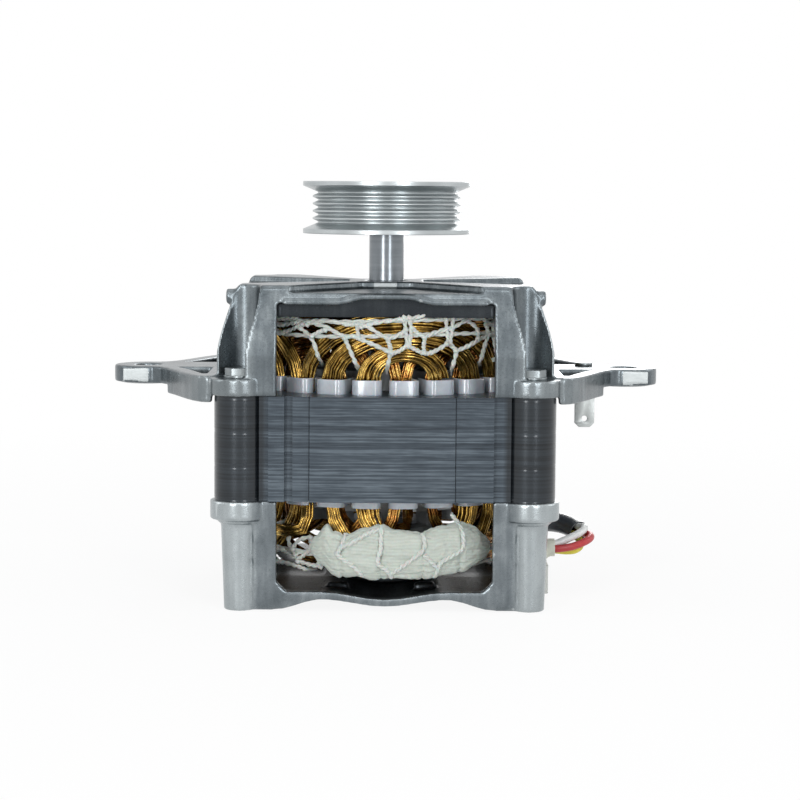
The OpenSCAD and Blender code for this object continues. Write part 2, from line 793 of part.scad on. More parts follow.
// One bush with its centre at the origin
module bush() {
    intersection() {
        difference() {
            sphere(bush_r, $fn = 96);
            cylinder(r = shaft_r + shaft_clearance, h = 3 * bush_r, center = true);
        }
        cylinder(r = 2 * bush_r, h = bush_l, center = true);
    }
}

module upper_bearing() {
    color("peru") translate([0, 0, upper_bush_z]) bush();
}

module lower_bearing() {
    color("peru") translate([0, 0, lower_bush_z]) bush();
}

module ring_between(r, z) {
    translate([0, 0, z[0]]) difference() {
        cylinder(r = r[1], h = z[1] - z[0]);
        translate([0, 0, -overcut]) cylinder(r = r[0], h = z[1] - z[0] + 2 * overcut);
    }
}

module upper_felt() {
    color("tan") translate([0, 0, upper_bush_z]) ring_between(felt_r, felt_z);
}

module lower_felt() {
    color("tan") translate([0, 0, lower_bush_z]) mirror([0, 0, 1]) ring_between(felt_r, felt_z);
}

// Star shaped spring clip that presses the bush into its seat
module bearing_clip() {
    clip_in = sqrt(pow(bush_r, 2) - pow(clip_z[1], 2)) + bush_fit;
    notch_w = 2;
    difference() {
        ring_between([clip_in, cavity_r - 0.1], clip_z);
        for (i = [0:5]) rotate(60 * i) translate([0, -notch_w / 2, clip_z[0] - overcut])
            cube([clip_in + 2, notch_w, clip_z[1] - clip_z[0] + 2 * overcut]);
    }
}

module upper_bearing_clip() {
    color("lightsteelblue") translate([0, 0, upper_bush_z]) bearing_clip();
}

module lower_bearing_clip() {
    color("lightsteelblue") translate([0, 0, lower_bush_z]) mirror([0, 0, 1]) bearing_clip();
}

module bearing_cap() {
    ring_between([cap_hole_r, hub_r + cap_t], [cavity_z[0] - cap_t, cavity_z[0]]);
    ring_between([hub_r, hub_r + cap_t], [cavity_z[0] - cap_t, cavity_z[0] + cap_skirt]);
}

module upper_bearing_cap() {
    color("silver") translate([0, 0, upper_bush_z]) bearing_cap();
}

module lower_bearing_cap() {
    color("silver") translate([0, 0, lower_bush_z]) mirror([0, 0, 1]) bearing_cap();
}

module end_plug() {
    color("silver") translate([0, 0, lip_centre_z + 0.3]) cylinder(r = plug_r, h = 1);
}

module shaft() {
    chamfer = 0.8;
    shaft_top = pulley_z0 + pulley_h - shaft_in;
    color("gainsboro") rotate_extrude() polygon([
        [0, shaft_z0], [shaft_r - chamfer, shaft_z0], [shaft_r, shaft_z0 + chamfer],
        [shaft_r, lower_shoulder_z], [shoulder_r, lower_shoulder_z],
        [shoulder_r, upper_shoulder_z], [shaft_r, upper_shoulder_z],
        [shaft_r, shaft_top - chamfer], [shaft_r - chamfer, shaft_top], [0, shaft_top]
    ]);
}

module oil_slingers() {
    color("dimgray") {
        ring_between([shaft_r, slinger_r], [upper_shoulder_z, upper_shoulder_z + slinger_t]);
        ring_between([shaft_r, slinger_r], [lower_shoulder_z - slinger_t, lower_shoulder_z]);
    }
}

module thrust_washers() {
    upper = upper_shoulder_z + slinger_t;
    lower = lower_shoulder_z - slinger_t;
    color("saddlebrown") {
        ring_between([shaft_r, cap_hole_r - 0.5], [upper, upper + washer_t]);
        ring_between([shaft_r, cap_hole_r - 0.5], [lower - washer_t, lower]);
    }
}

module at_bars() {
    for (i = [0:bar_count - 1]) rotate(360 * i / bar_count) translate([bar_circle_r, 0, 0]) children();
}

module rotor_core() {
    color("gray") translate([0, 0, stack_z0]) linear_extrude(stack_h) difference() {
        circle(rotor_r, $fn = 96);
        circle(shoulder_r);
        at_bars() circle(bar_r, $fn = 24);
    }
}

module end_ring(z, up) {
    translate([0, 0, z]) mirror([0, 0, up ? 0 : 1]) {
        ring_between(ring_r, [0, end_ring_h]);
        for (i = [0:fin_count - 1]) rotate(360 * i / fin_count)
            translate([ring_r[1] - fin_l - fin_root, -fin_t / 2, end_ring_h - fin_root])
                cube([fin_l, fin_t, fin_h + fin_root]);
    }
}

module rotor_cage() {
    color("silver") {
        end_ring(stack_z1, true);
        end_ring(stack_z0, false);
        at_bars() translate([0, 0, stack_z0 - overcut])
            cylinder(r = bar_r, h = stack_h + 2 * overcut, $fn = 24);
    }
}

// Half outline of the grooved face, from the lower rim upward
function groove_face() = concat(
    [[rim_d / 2, 0], [rim_d / 2, rim_t]],
    [for (i = [0:groove_count - 1])
        let (z = rim_t + cone_h + i * rib_pitch, tip = z + rib_pitch / 2)
        each concat(
            [[root_d / 2, z - root_flat / 2], [root_d / 2, z + root_flat / 2]],
            i == groove_count - 1 ? [] : [[rib_d / 2, tip - tip_flat / 2], [rib_d / 2, tip + tip_flat / 2]]
        )],
    [[rim_d / 2, pulley_h - rim_t], [rim_d / 2, pulley_h]]
);

module pulley() {
    web_top = pulley_h - well_high;
    hub_top = pulley_h - hub_in;
    color("gainsboro") translate([0, 0, pulley_z0]) rotate_extrude($fn = 96) polygon(concat(
        [[shaft_r, 0], [pulley_hub_r, 0], [pulley_hub_r, well_low]],
        [[pulley_well_r, well_low], [pulley_well_r, 0]],
        groove_face(),
        [[pulley_well_r, pulley_h], [pulley_well_r, web_top]],
        [[pulley_hub_r, web_top], [pulley_hub_r, hub_top], [shaft_r, hub_top]]
    ));
}

module ground_tab() {
    half = tab_w / 2;
    tip = 1.4;
    hole_r = 0.9;
    hole_up = 2.8;
    leaf = rivet_y + 4 - tab_y;
    color("silver") translate([tab_x, 0, ear_z]) difference() {
        union() {
            translate([0, tab_y + tab_t, 0]) rotate([90, 0, 0]) linear_extrude(tab_t) polygon([
                [-half, 0], [-half, -tab_l + tip], [-half + tip, -tab_l],
                [half - tip, -tab_l], [half, -tab_l + tip], [half, 0]
            ]);
            translate([-half, tab_y, -tab_t]) cube([tab_w, leaf, tab_t]);
        }
        translate([0, tab_y - overcut, hole_up - tab_l]) rotate([-90, 0, 0])
            cylinder(r = hole_r, h = tab_t + 2 * overcut);
        translate([0, rivet_y, -tab_t - overcut]) cylinder(r = rivet_r, h = tab_t + 2 * overcut);
    }
}

module ground_rivet() {
    head_h = 1.1;
    head_r = rivet_r + 1.3;
    color("silver") translate([tab_x, rivet_y, 0]) {
        translate([0, 0, ear_z - tab_t - head_h]) cylinder(r = head_r, h = head_h);
        translate([0, 0, ear_z - tab_t]) cylinder(r = rivet_r, h = ear_t + tab_t);
        translate([0, 0, ear_z + ear_t]) cylinder(r = head_r, h = head_h);
    }
}

module lead_sleeve() {
    color("black") route_tube(sleeve_route, lead_sleeve_d / 2, lead_sides, [0, 0, 1]);
}

module white_lead() {
    color("white") route_tube(white_route, lead_d / 2, lead_sides, [0, 0, 1]);
}

module red_lead() {
    color("crimson") route_tube(red_route, lead_d / 2, lead_sides, [0, 0, 1]);
}

module yellow_lead() {
    color("gold") route_tube(yellow_route, lead_d / 2, lead_sides, [0, 0, 1]);
}

module connector_sleeve() {
    color("beige") route_tube(collar_route, collar_d / 2, lead_sides, [0, 1, 0]);
}

// Wells for the terminals, side by side along Y, from x0 to x1
module connector_wells(inset, x0, x1) {
    cell = socket_cell - 2 * inset;
    first = -terminal_pitch * (terminal_count - 1) / 2;
    translate([x0, (socket_y[0] + socket_y[1]) / 2, (socket_z[0] + socket_z[1]) / 2])
        for (i = [0:terminal_count - 1]) translate([0, first + i * terminal_pitch - cell / 2, -cell / 2])
            cube([x1 - x0, cell, cell]);
}

module connector_housing() {
    leg_t = socket_x[1] - bottom_half[0] - 0.9;
    socket_l = socket_y[1] - socket_y[0];
    color("ivory") difference() {
        union() {
            translate([socket_x[0], socket_y[0], socket_z[0]])
                cube([socket_x[1] - socket_x[0], socket_l, socket_z[1] - socket_z[0]]);
            translate([socket_x[1] - leg_t, socket_y[0], socket_leg_z])
                cube([leg_t, socket_l, socket_z[0] - socket_leg_z + 1]);
        }
        connector_wells(0, socket_x[0] + socket_back, socket_x[1] + overcut);
    }
}

module connector_terminals() {
    color("silver") connector_wells(0.3, socket_x[0] + socket_back, socket_x[1] - socket_back / 2);
}

pulley();
shaft();
rotor_core();
rotor_cage();
oil_slingers();
thrust_washers();
stator_stack();
slot_liners();
slot_wedges();
main_winding();
start_winding();
upper_lacing();
lower_lacing();
winding_sleeve();
thermal_protector();
top_bell();
bottom_bell();
through_bolts();
upper_bearing();
lower_bearing();
upper_felt();
lower_felt();
upper_bearing_clip();
lower_bearing_clip();
upper_bearing_cap();
lower_bearing_cap();
end_plug();
ground_tab();
ground_rivet();
lead_sleeve();
white_lead();
red_lead();
yellow_lead();
connector_sleeve();
connector_housing();
connector_terminals();
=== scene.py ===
# Looks of a small washing machine motor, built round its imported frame
import random
from math import asin, cos, pi, radians, sin, sqrt

import bpy
from mathutils import Matrix, Vector, noise


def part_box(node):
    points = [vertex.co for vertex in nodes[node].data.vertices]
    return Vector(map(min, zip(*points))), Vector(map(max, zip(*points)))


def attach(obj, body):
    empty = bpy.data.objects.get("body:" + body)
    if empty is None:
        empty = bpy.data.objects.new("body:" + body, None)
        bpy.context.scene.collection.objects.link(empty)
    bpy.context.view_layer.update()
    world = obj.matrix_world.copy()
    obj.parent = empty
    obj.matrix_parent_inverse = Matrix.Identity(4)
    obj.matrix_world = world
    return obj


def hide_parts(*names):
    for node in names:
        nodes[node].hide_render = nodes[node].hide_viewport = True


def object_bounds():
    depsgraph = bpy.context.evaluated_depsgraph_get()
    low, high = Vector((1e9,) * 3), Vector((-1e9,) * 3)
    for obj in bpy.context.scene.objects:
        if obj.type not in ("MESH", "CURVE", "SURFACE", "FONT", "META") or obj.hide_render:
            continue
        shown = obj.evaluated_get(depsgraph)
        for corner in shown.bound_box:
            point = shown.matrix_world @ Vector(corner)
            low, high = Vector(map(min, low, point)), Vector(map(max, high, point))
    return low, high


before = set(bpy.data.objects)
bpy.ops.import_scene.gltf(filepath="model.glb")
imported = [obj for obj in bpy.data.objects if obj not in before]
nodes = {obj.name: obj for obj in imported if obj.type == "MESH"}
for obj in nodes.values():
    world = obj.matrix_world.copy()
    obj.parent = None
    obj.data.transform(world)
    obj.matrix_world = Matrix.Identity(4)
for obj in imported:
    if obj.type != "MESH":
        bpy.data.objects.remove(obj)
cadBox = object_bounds()
mm = 0.001
print("frame loaded,", len(nodes), "nodes")


# camera and light

cameraSet = {
    "place": (0.0007, -0.7344, 0.1277),             # metres
    "down": 5.262, "right": 0.307, "roll": 0.425,   # degrees
    "lens": 103.14, "sensor": 36,
    "near": 0.01,
}


def addCamera(s):
    bpy.ops.object.camera_add(location=s["place"])
    camera = bpy.context.object
    turn = (Matrix.Rotation(radians(-s["right"]), 4, "Z")
            @ Matrix.Rotation(radians(90 - s["down"]), 4, "X")
            @ Matrix.Rotation(radians(s["roll"]), 4, "Z"))
    camera.rotation_euler = turn.to_euler()
    camera.data.lens = s["lens"]
    camera.data.sensor_width = s["sensor"]
    camera.data.clip_start = s["near"]
    bpy.context.scene.camera = camera


lightSet = {
    # name: place, width, height, power in watts, tint
    "boxLeft": ((-0.5, -1.2, 0.35), 0.24, 0.9, 7.2, (1.0, 1.0, 1.0)),
    "boxRight": ((0.5, -1.2, 0.35), 0.2, 0.9, 5.3, (0.97, 0.985, 1.0)),
    "sideLeft": ((-1.3, -0.1, 0.6), 0.6, 0.6, 2.6, (1.0, 1.0, 1.0)),
    "sideRight": ((1.3, 0.1, 0.6), 0.6, 0.6, 2.6, (1.0, 1.0, 1.0)),
    "boxBack": ((0.3, 1.2, 0.5), 0.4, 0.9, 4.6, (1.0, 1.0, 1.0)),
    "ceiling": ((0.0, 0.1, 1.3), 1.0, 1.0, 2.2, (1.0, 1.0, 1.0)),
    "topStrip": ((0.0, -0.75, 1.0), 1.3, 0.14, 2.8, (1.0, 1.0, 1.0)),
}
lightAim = Vector((0, 0, 0.06))


def addLights(s, aim):
    for name, (place, width, height, power, tint) in s.items():
        bpy.ops.object.light_add(type="AREA", location=place)
        lamp = bpy.context.object
        lamp.name = name
        lamp.data.shape = "RECTANGLE"
        lamp.data.size = width
        lamp.data.size_y = height
        lamp.data.energy = power
        lamp.data.color = tint
        lamp.rotation_euler = (aim - Vector(place)).to_track_quat("-Z", "Y").to_euler()


# shader kit

class Wire:
    # one socket, so that shader maths reads as plain Python
    def __init__(self, tree, socket):
        self.tree = tree
        self.socket = socket

    def maths(self, operation, left, right):
        node = self.tree.nodes.new("ShaderNodeMath")
        node.operation = operation
        for place, value in zip(node.inputs, (left, right)):
            if isinstance(value, Wire):
                self.tree.links.new(value.socket, place)
            else:
                place.default_value = value
        return Wire(self.tree, node.outputs[0])

    def __add__(self, other):
        return self.maths("ADD", self, other)

    def __radd__(self, other):
        return self.maths("ADD", other, self)

    def __sub__(self, other):
        return self.maths("SUBTRACT", self, other)

    def __rsub__(self, other):
        return self.maths("SUBTRACT", other, self)

    def __mul__(self, other):
        return self.maths("MULTIPLY", self, other)

    def __rmul__(self, other):
        return self.maths("MULTIPLY", other, self)


class Finish:
    # one material: its nodes are added by type, settings and sockets
    def __init__(self, owner):
        owner.use_nodes = True
        self.tree = owner.node_tree
        self.tree.nodes.clear()

    def add(self, kind, settings=None, links=None, out=0):
        node = self.tree.nodes.new("ShaderNode" + kind)
        for key, value in (settings or {}).items():
            if key == "stops":
                ramp = node.color_ramp
                while len(ramp.elements) < len(value):
                    ramp.elements.new(0.5)
                for element, (place, colour) in zip(ramp.elements, value):
                    element.position = place
                    element.color = (*colour, 1)
            else:
                setattr(node, key, value)
        for key, value in (links or {}).items():
            socket = node.inputs[key]
            if isinstance(value, Wire):
                self.tree.links.new(value.socket, socket)
            else:
                socket.default_value = value
        return Wire(self.tree, node.outputs[out]) if len(node.outputs) else None

    def place(self, stretch=(1, 1, 1)):
        spot = self.add("TexCoord", out="Object")
        return self.add("Mapping", links={"Vector": spot, "Scale": stretch})

    def axes(self):
        spot = self.add("TexCoord", out="Object")
        return [self.add("SeparateXYZ", links={"Vector": spot}, out=i) for i in range(3)]

    def noise(self, size, detail=3, stretch=(1, 1, 1), rough=0.5):
        # size is that of one blotch in millimetres
        return self.add("TexNoise", {}, {
            "Vector": self.place(stretch), "Scale": 1 / (size * mm), "Detail": detail, "Roughness": rough,
        }, "Fac")

    def maths(self, operation, *values):
        return self.add("Math", {"operation": operation}, dict(enumerate(values)))

    def shown(self):
        # 1 for rays of the camera and for those that metal mirrors or glass lets through
        kinds = ("Is Camera Ray", "Is Glossy Ray", "Is Transmission Ray")
        seen = [self.add("LightPath", out=kind) for kind in kinds]
        return self.maths("MAXIMUM", self.maths("MAXIMUM", seen[0], seen[1]), seen[2])

    def span(self, value, low, high, soft):
        # 1 between two places in millimetres, fading to 0 outside them
        up, down = (self.add("MapRange", {}, {"Value": value, "From Min": faded * mm, "From Max": end * mm})
                    for end, faded in ((low, low - soft), (high, high + soft)))
        return up * down

    def ramp(self, value, stops):
        return self.add("ValToRGB", {"stops": stops}, {"Fac": value})

    def blend(self, factor, first, second):
        return self.add("Mix", {"data_type": "RGBA"}, {0: factor, 6: first, 7: second}, 2)

    def bump(self, height, depth, strength=1.0, under=None):
        links = {"Height": height, "Distance": depth * mm, "Strength": strength}
        if under is not None:
            links["Normal"] = under
        return self.add("Bump", {}, links)

    def surface(self, **sockets):
        names = {
            "colour": "Base Color", "rough": "Roughness", "metal": "Metallic", "normal": "Normal",
            "coat": "Coat Weight", "coatRough": "Coat Roughness", "sheen": "Sheen Weight",
            "through": "Subsurface Weight", "throughScale": "Subsurface Scale",
        }
        shader = self.add("BsdfPrincipled", {}, {names[key]: value for key, value in sockets.items()})
        self.add("OutputMaterial", {}, {"Surface": shader})


def colour(red, green, blue):
    # a screen colour from 0 to 255, as the renderer counts it
    def linear(c):
        c = c / 255
        return c / 12.92 if c <= 0.04045 else ((c + 0.055) / 1.055) ** 2.4
    return (linear(red), linear(green), linear(blue), 1)


def newFinish(name):
    material = bpy.data.materials.new(name)
    return material, Finish(material)


castMarks = {
    # where the tone changes: from, to and how softly it fades, in millimetres
    # inner walls, made dark by painted shade
    "shadeWide": (-9, 44.7, 1.2), "shadeSlim": (-9, 35, 1.5), "shadeZ": (3.4, 94.3, 0.8),
    # outer corners, where a painted highlight lies
    "corner": (41.5, 60, 3),
    # milled spot in front of the shaft
    "milledX": (-3.8, 3.2, 0.2), "milledY": (-15, -9, 0.5), "milledZ": (95.6, 101, 0.4),
    # place on the ramp and colour
    "tones": ((0.36, 74, 81, 85), (0.5, 95, 102, 106), (0.64, 124, 131, 134)),
    # colours of the painted highlight on the outer corners, of the edges' wear and painted highlight, of
    # the milled spot, and of the painted shade on the inner walls
    "cornerHighlight": (206, 213, 214), "edgeWearAndHighlight": (214, 220, 221), "milled": (168, 174, 175), "inner": (30, 33, 37),
}


def castAluminium(name, paintedLift, cornerHighlight, s):
    # the first number paints light into the whole copy, so that it is paler; the second sets how strongly a
    # painted highlight lies on its outer corners
    material, f = newFinish(name)
    cloud = f.noise(11, 3)
    grain = f.noise(0.7, 5, rough=0.7)
    flow = f.noise(4.5, 3, (1, 1, 0.5))
    drag = f.noise(1.8, 3, (1, 1, 0.06))       # marks of the die, drawn along the walls
    edge = f.add("NewGeometry", out="Pointiness")
    # edge wear and a painted highlight: convex edges are made paler
    edgeWearAndHighlight = f.add("MapRange", {}, {"Value": edge, "From Min": 0.53, "From Max": 0.62})
    x, y, z = f.axes()
    farX, farY = f.maths("ABSOLUTE", x), f.maths("ABSOLUTE", y)
    wide = f.maths("MAXIMUM", farX, farY)
    slim = f.maths("MINIMUM", farX, farY)
    # painted shade: the inner walls are made nearly black, as though shade fell there
    inner = f.span(wide, *s["shadeWide"]) * f.span(slim, *s["shadeSlim"]) * f.span(z, *s["shadeZ"])
    # painted highlight: the outer corners are made paler
    corner = f.span(slim, *s["corner"])
    milled = f.span(x, *s["milledX"]) * f.span(y, *s["milledY"]) * f.span(z, *s["milledZ"])
    # tone ramp, raised everywhere by the painted light of the copy
    tone = f.ramp(cloud * 0.35 + flow * 0.25 + grain * 0.15 + drag * 0.25, [
        (place, colour(red + paintedLift, green + paintedLift, blue + paintedLift)[:3])
        for place, red, green, blue in s["tones"]])
    # painted highlight on the outer corners
    tone = f.blend(corner * cornerHighlight, tone, colour(*s["cornerHighlight"]))
    # edge wear with a painted highlight on convex edges
    tone = f.blend(edgeWearAndHighlight * 0.4, tone, colour(*s["edgeWearAndHighlight"]))
    tone = f.blend(milled, tone, colour(*s["milled"]))
    # painted shade on the inner walls
    tone = f.blend(inner * 0.86, tone, colour(*s["inner"]))
    skin = f.bump(grain, 0.035, 0.4)
    skin = f.bump(flow, 0.3, 0.25, skin)
    f.surface(colour=tone, metal=0.9, rough=0.22 + 0.13 * grain, normal=skin)
    return material


def cutAluminium():
    material, f = newFinish("cutAluminium")
    strokes = f.noise(0.5, 4, (0.12, 1, 1))
    patch = f.noise(2.2, 2, (0.6, 1, 1.6))
    tone = f.blend(strokes * 0.5 + patch * 0.5, colour(160, 166, 167), colour(214, 219, 219))
    f.surface(colour=tone, metal=0.4, rough=0.4 + 0.2 * strokes, normal=f.bump(strokes, 0.06, 0.6))
    return material


def turnedMetal(name, dark, light, rough=0.22):
    # fine rings round the shaft axis, as a lathe leaves them
    material, f = newFinish(name)
    x, y, z = f.axes()
    away = f.maths("SQRT", x * x + y * y)
    rings = f.add("CombineXYZ", {}, {0: away, 1: z, 2: 0.0})
    fine = f.add("TexNoise", {}, {"Vector": rings, "Scale": 4200.0, "Detail": 2.0}, "Fac")
    coarse = f.add("TexNoise", {}, {"Vector": rings, "Scale": 700.0, "Detail": 2.0}, "Fac")
    stain = f.noise(6, 3)
    tone = f.blend(coarse * 0.6 + stain * 0.4, dark, light)
    f.surface(colour=tone, metal=1.0, rough=rough + 0.1 * fine + 0.04 * stain,
              normal=f.bump(fine, 0.008, 0.5))
    return material


def laminations():
    # dark varnish over sheet edges, with painted shade that makes the corner lobes nearly black
    material, f = newFinish("laminationSteel")
    x, y = f.axes()[:2]
    apart = f.maths("MINIMUM", f.maths("ABSOLUTE", x), f.maths("ABSOLUTE", y))
    lobe = f.add("MapRange", {}, {"Value": apart, "From Min": 35.5 * mm, "From Max": 37 * mm})
    sheets = f.noise(0.6, 1, (0.004, 0.004, 1))
    scratch = f.noise(0.5, 2, (0.06, 0.06, 1))
    groups = f.noise(5, 1, (0.02, 0.02, 1))
    varnish = f.noise(8, 3)
    bare = f.ramp(sheets * 0.42 + scratch * 0.25 + groups * 0.18 + varnish * 0.15, [
        (0.36, colour(40, 47, 54)[:3]), (0.5, colour(62, 71, 79)[:3]), (0.64, colour(94, 104, 112)[:3])])
    # painted shade: the corner lobes are made nearly black
    lobeShade = f.blend(sheets, colour(9, 11, 13), colour(50, 57, 63))
    tone = f.blend(lobe, bare, lobeShade)
    f.surface(colour=tone, metal=0.55 + 0.35 * lobe, rough=0.26 + 0.2 * scratch,
              coat=0.08 * varnish + 0.6 * lobe, coatRough=0.16,
              normal=f.bump(sheets * 0.7 + scratch * 0.3, 0.05, 0.6))
    return material


def enamelledCopper(name, dark, light):
    material, f = newFinish(name)
    cloud = f.noise(3.2, 3)
    fleck = f.noise(0.6, 2)
    tone = f.ramp(cloud * 0.75 + fleck * 0.25, [
        (0.32, dark[:3]), (0.5, light[:3]), (0.66, colour(228, 194, 110)[:3])])
    f.surface(colour=tone, metal=0.95, rough=0.13 + 0.1 * cloud, coat=0.35, coatRough=0.08,
              normal=f.bump(fleck, 0.02, 0.3))
    return material


def lacingCord():
    material, f = newFinish("lacingCord")
    fibre = f.noise(0.22, 4)
    dirt = f.noise(4, 3)
    tone = f.blend(dirt, colour(190, 194, 188), colour(224, 227, 221))
    tone = f.blend(fibre * 0.4, tone, colour(148, 154, 150))
    f.surface(colour=tone, rough=0.62 + 0.2 * fibre, normal=f.bump(fibre, 0.14, 0.9), sheen=0.15,
              through=0.25, throughScale=0.8 * mm)
    return material


def glassCloth():
    material, f = newFinish("glassCloth")
    weft = f.add("TexWave", {"wave_type": "BANDS", "bands_direction": "Z"}, {
        "Vector": f.place(), "Scale": 330.0, "Distortion": 7.0, "Detail": 3.0, "Detail Scale": 0.35,
    }, "Fac")
    crease = f.noise(1.5, 4, (0.18, 0.5, 1), 0.6)
    warp = f.noise(0.35, 3, (1, 1, 0.25))
    stain = f.noise(5, 3)
    tone = f.blend(stain, colour(186, 193, 184), colour(214, 220, 211))
    tone = f.blend(weft * 0.12 + warp * 0.2 + crease * 0.35, tone, colour(136, 144, 135))
    f.surface(colour=tone, rough=0.66 + 0.15 * warp, sheen=0.15, through=0.15, throughScale=0.8 * mm,
              normal=f.bump(weft * 0.15 + warp * 0.4 + crease, 0.34, 0.9))
    return material


def slotFilm():
    material, f = newFinish("slotFilm")
    cloud = f.noise(3, 3)
    fold = f.noise(1.2, 2, (1, 1, 0.15))
    tone = f.blend(cloud, colour(150, 157, 166), colour(194, 200, 207))
    f.surface(colour=tone, rough=0.2 + 0.1 * cloud, coat=0.8, coatRough=0.08,
              through=0.25, throughScale=1.2 * mm, normal=f.bump(fold, 0.1, 0.35))
    return material


def plainStuff(name, dark, light, blotch, rough, metal=0.0, bump=0.05, stretch=(1, 1, 1), coat=0.0):
    material, f = newFinish(name)
    cloud = f.noise(blotch, 4, stretch)
    fine = f.noise(blotch / 8, 3, stretch)
    tone = f.blend(cloud * 0.75 + fine * 0.25, colour(*dark), colour(*light))
    f.surface(colour=tone, rough=rough - 0.08 + 0.18 * fine, metal=metal, normal=f.bump(fine, bump, 0.6),
              coat=coat, coatRough=0.15)
    return material


finishes = {
    # two copies of one casting finish: the second is paler from painted light and has a stronger painted
    # highlight on its outer corners
    "castAluminium": castAluminium("castAluminium", 4, 0.15, castMarks),
    "paintedLightAluminium": castAluminium("paintedLightAluminium", 22, 0.4, castMarks),
    "cutAluminium": cutAluminium(),
    "turnedPulley": turnedMetal("turnedPulley", colour(150, 156, 158), colour(200, 205, 206), 0.24),
    "shaftSteel": turnedMetal("shaftSteel", colour(100, 106, 111), colour(146, 151, 155), 0.17),
    "laminationSteel": laminations(),
    "mainCopper": enamelledCopper("mainCopper", colour(76, 59, 22), colour(154, 121, 50)),
    "startCopper": enamelledCopper("startCopper", colour(82, 52, 20), colour(164, 110, 46)),
    "lacingCord": lacingCord(),
    "glassCloth": glassCloth(),
    "slotFilm": slotFilm(),
}
plainSet = {
    # name: dark, light, size of a blotch in millimetres, roughness, then what isn't as in most
    "wedgeBoard": ((168, 150, 112), (206, 190, 152), 2, 0.7, {"stretch": (1, 1, 0.2)}),
    "cageAluminium": ((150, 155, 158), (188, 192, 194), 3, 0.42, {"metal": 0.85, "bump": 0.12}),
    "springSteel": ((96, 102, 110), (150, 156, 162), 2, 0.34, {"metal": 0.9}),
    "fibreWasher": ((92, 58, 34), (126, 84, 52), 1, 0.7, {}),
    "blackPlastic": ((24, 25, 27), (44, 46, 48), 2, 0.45, {}),
    "zincSteel": ((104, 110, 113), (150, 156, 157), 2.5, 0.3, {"metal": 0.95, "bump": 0.015}),
    "sinteredBronze": ((148, 104, 58), (188, 140, 84), 0.8, 0.5, {"metal": 0.8, "bump": 0.12}),
    "oilFelt": ((150, 132, 98), (186, 168, 130), 0.7, 0.9, {"bump": 0.3}),
    "tinnedTab": ((188, 193, 192), (216, 220, 218), 2, 0.36, {"metal": 0.45}),
    "blackSleeving": ((36, 39, 44), (80, 86, 93), 1.6, 0.32, {"bump": 0.12, "coat": 0.4}),
    "whiteInsulation": ((214, 216, 216), (238, 239, 236), 2, 0.4, {}),
    "redInsulation": ((160, 40, 48), (196, 62, 62), 2, 0.38, {}),
    "yellowInsulation": ((196, 182, 40), (226, 214, 78), 2, 0.38, {}),
    "creamSleeving": ((204, 206, 190), (228, 229, 216), 1.4, 0.55, {"bump": 0.15}),
    "connectorNylon": ((214, 216, 210), (236, 237, 232), 3, 0.42, {}),
}
for name, (dark, light, blotch, rough, others) in plainSet.items():
    finishes[name] = plainStuff(name, dark, light, blotch, rough, **others)
print("finishes made:", len(finishes))


# modelling kit

weld = 0.002 * mm       # corners nearer than this are merged


def pickOnly(*objects):
    bpy.ops.object.select_all(action="DESELECT")
    for o in objects:
        o.hide_set(False)
        o.select_set(True)
    bpy.context.view_layer.objects.active = objects[0]


def applyModifiers(piece):
    pickOnly(piece)
    for modifier in list(piece.modifiers):
        bpy.ops.object.modifier_apply(modifier=modifier.name)


def settle(piece):
    # puts the piece's place, turn and size into its mesh
    pickOnly(piece)
    bpy.ops.object.transform_apply(location=True, rotation=True, scale=True)


def shade(piece, angle):
    # faces that meet at less than the angle look like one smooth surface
    pickOnly(piece)
    bpy.ops.object.shade_smooth_by_angle(angle=radians(angle))


def editPicked(operation, **settings):
    # one mesh operation on what is picked in the active piece
    bpy.ops.object.mode_set(mode="EDIT")
    operation(**settings)
    bpy.ops.object.mode_set(mode="OBJECT")


def pickParts(piece, kind, wanted):
    # picks only the wanted edges or corners of the active piece's mesh
    bpy.context.tool_settings.mesh_select_mode = (kind == "corners", kind == "edges", False)
    editPicked(bpy.ops.mesh.select_all, action="DESELECT")
    for part in piece.data.edges if kind == "edges" else piece.data.vertices:
        part.select = wanted(part)


def weldAnd(operation, piece, **settings):
    # merges corners that meet, then runs one operation on the whole mesh
    pickOnly(piece)
    bpy.ops.object.mode_set(mode="EDIT")
    bpy.ops.mesh.select_all(action="SELECT")
    bpy.ops.mesh.remove_doubles(threshold=weld)
    operation(**settings)
    bpy.ops.object.mode_set(mode="OBJECT")


def fixNormals(piece):
    weldAnd(bpy.ops.mesh.normals_make_consistent, piece, inside=False)


def dress(piece, finish, body, slot, *replaced):
    piece.data.materials.clear()
    piece.data.materials.append(finishes[finish])
    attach(piece, body)
    if replaced:
        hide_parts(*replaced)
    return piece


def meshPiece(name, verts, edges, faces):
    data = bpy.data.meshes.new(name)
    data.from_pydata(verts, edges, faces)
    piece = bpy.data.objects.new(name, data)
    bpy.context.collection.objects.link(piece)
    return piece


def copyOf(node, name):
    # a CAD mesh is loose triangles, so the copy is merged before it is shaped
    piece = bpy.data.objects.new(name, nodes[node].data.copy())
    bpy.context.collection.objects.link(piece)
    weldAnd(bpy.ops.mesh.dissolve_limited, piece, angle_limit=radians(0.5))
    return piece


def softCopy(node, name, width, angle=35):
    # the node's own form with its edges broken, so that they catch the light
    piece = copyOf(node, name)
    bevel = piece.modifiers.new("brokenEdges", "BEVEL")
    bevel.width = width * mm
    bevel.segments = 2
    bevel.limit_method = "ANGLE"
    bevel.angle_limit = radians(angle)
    applyModifiers(piece)
    shade(piece, angle)
    return piece


def join(first, others):
    pickOnly(first, *others)
    bpy.ops.object.join()
    return first


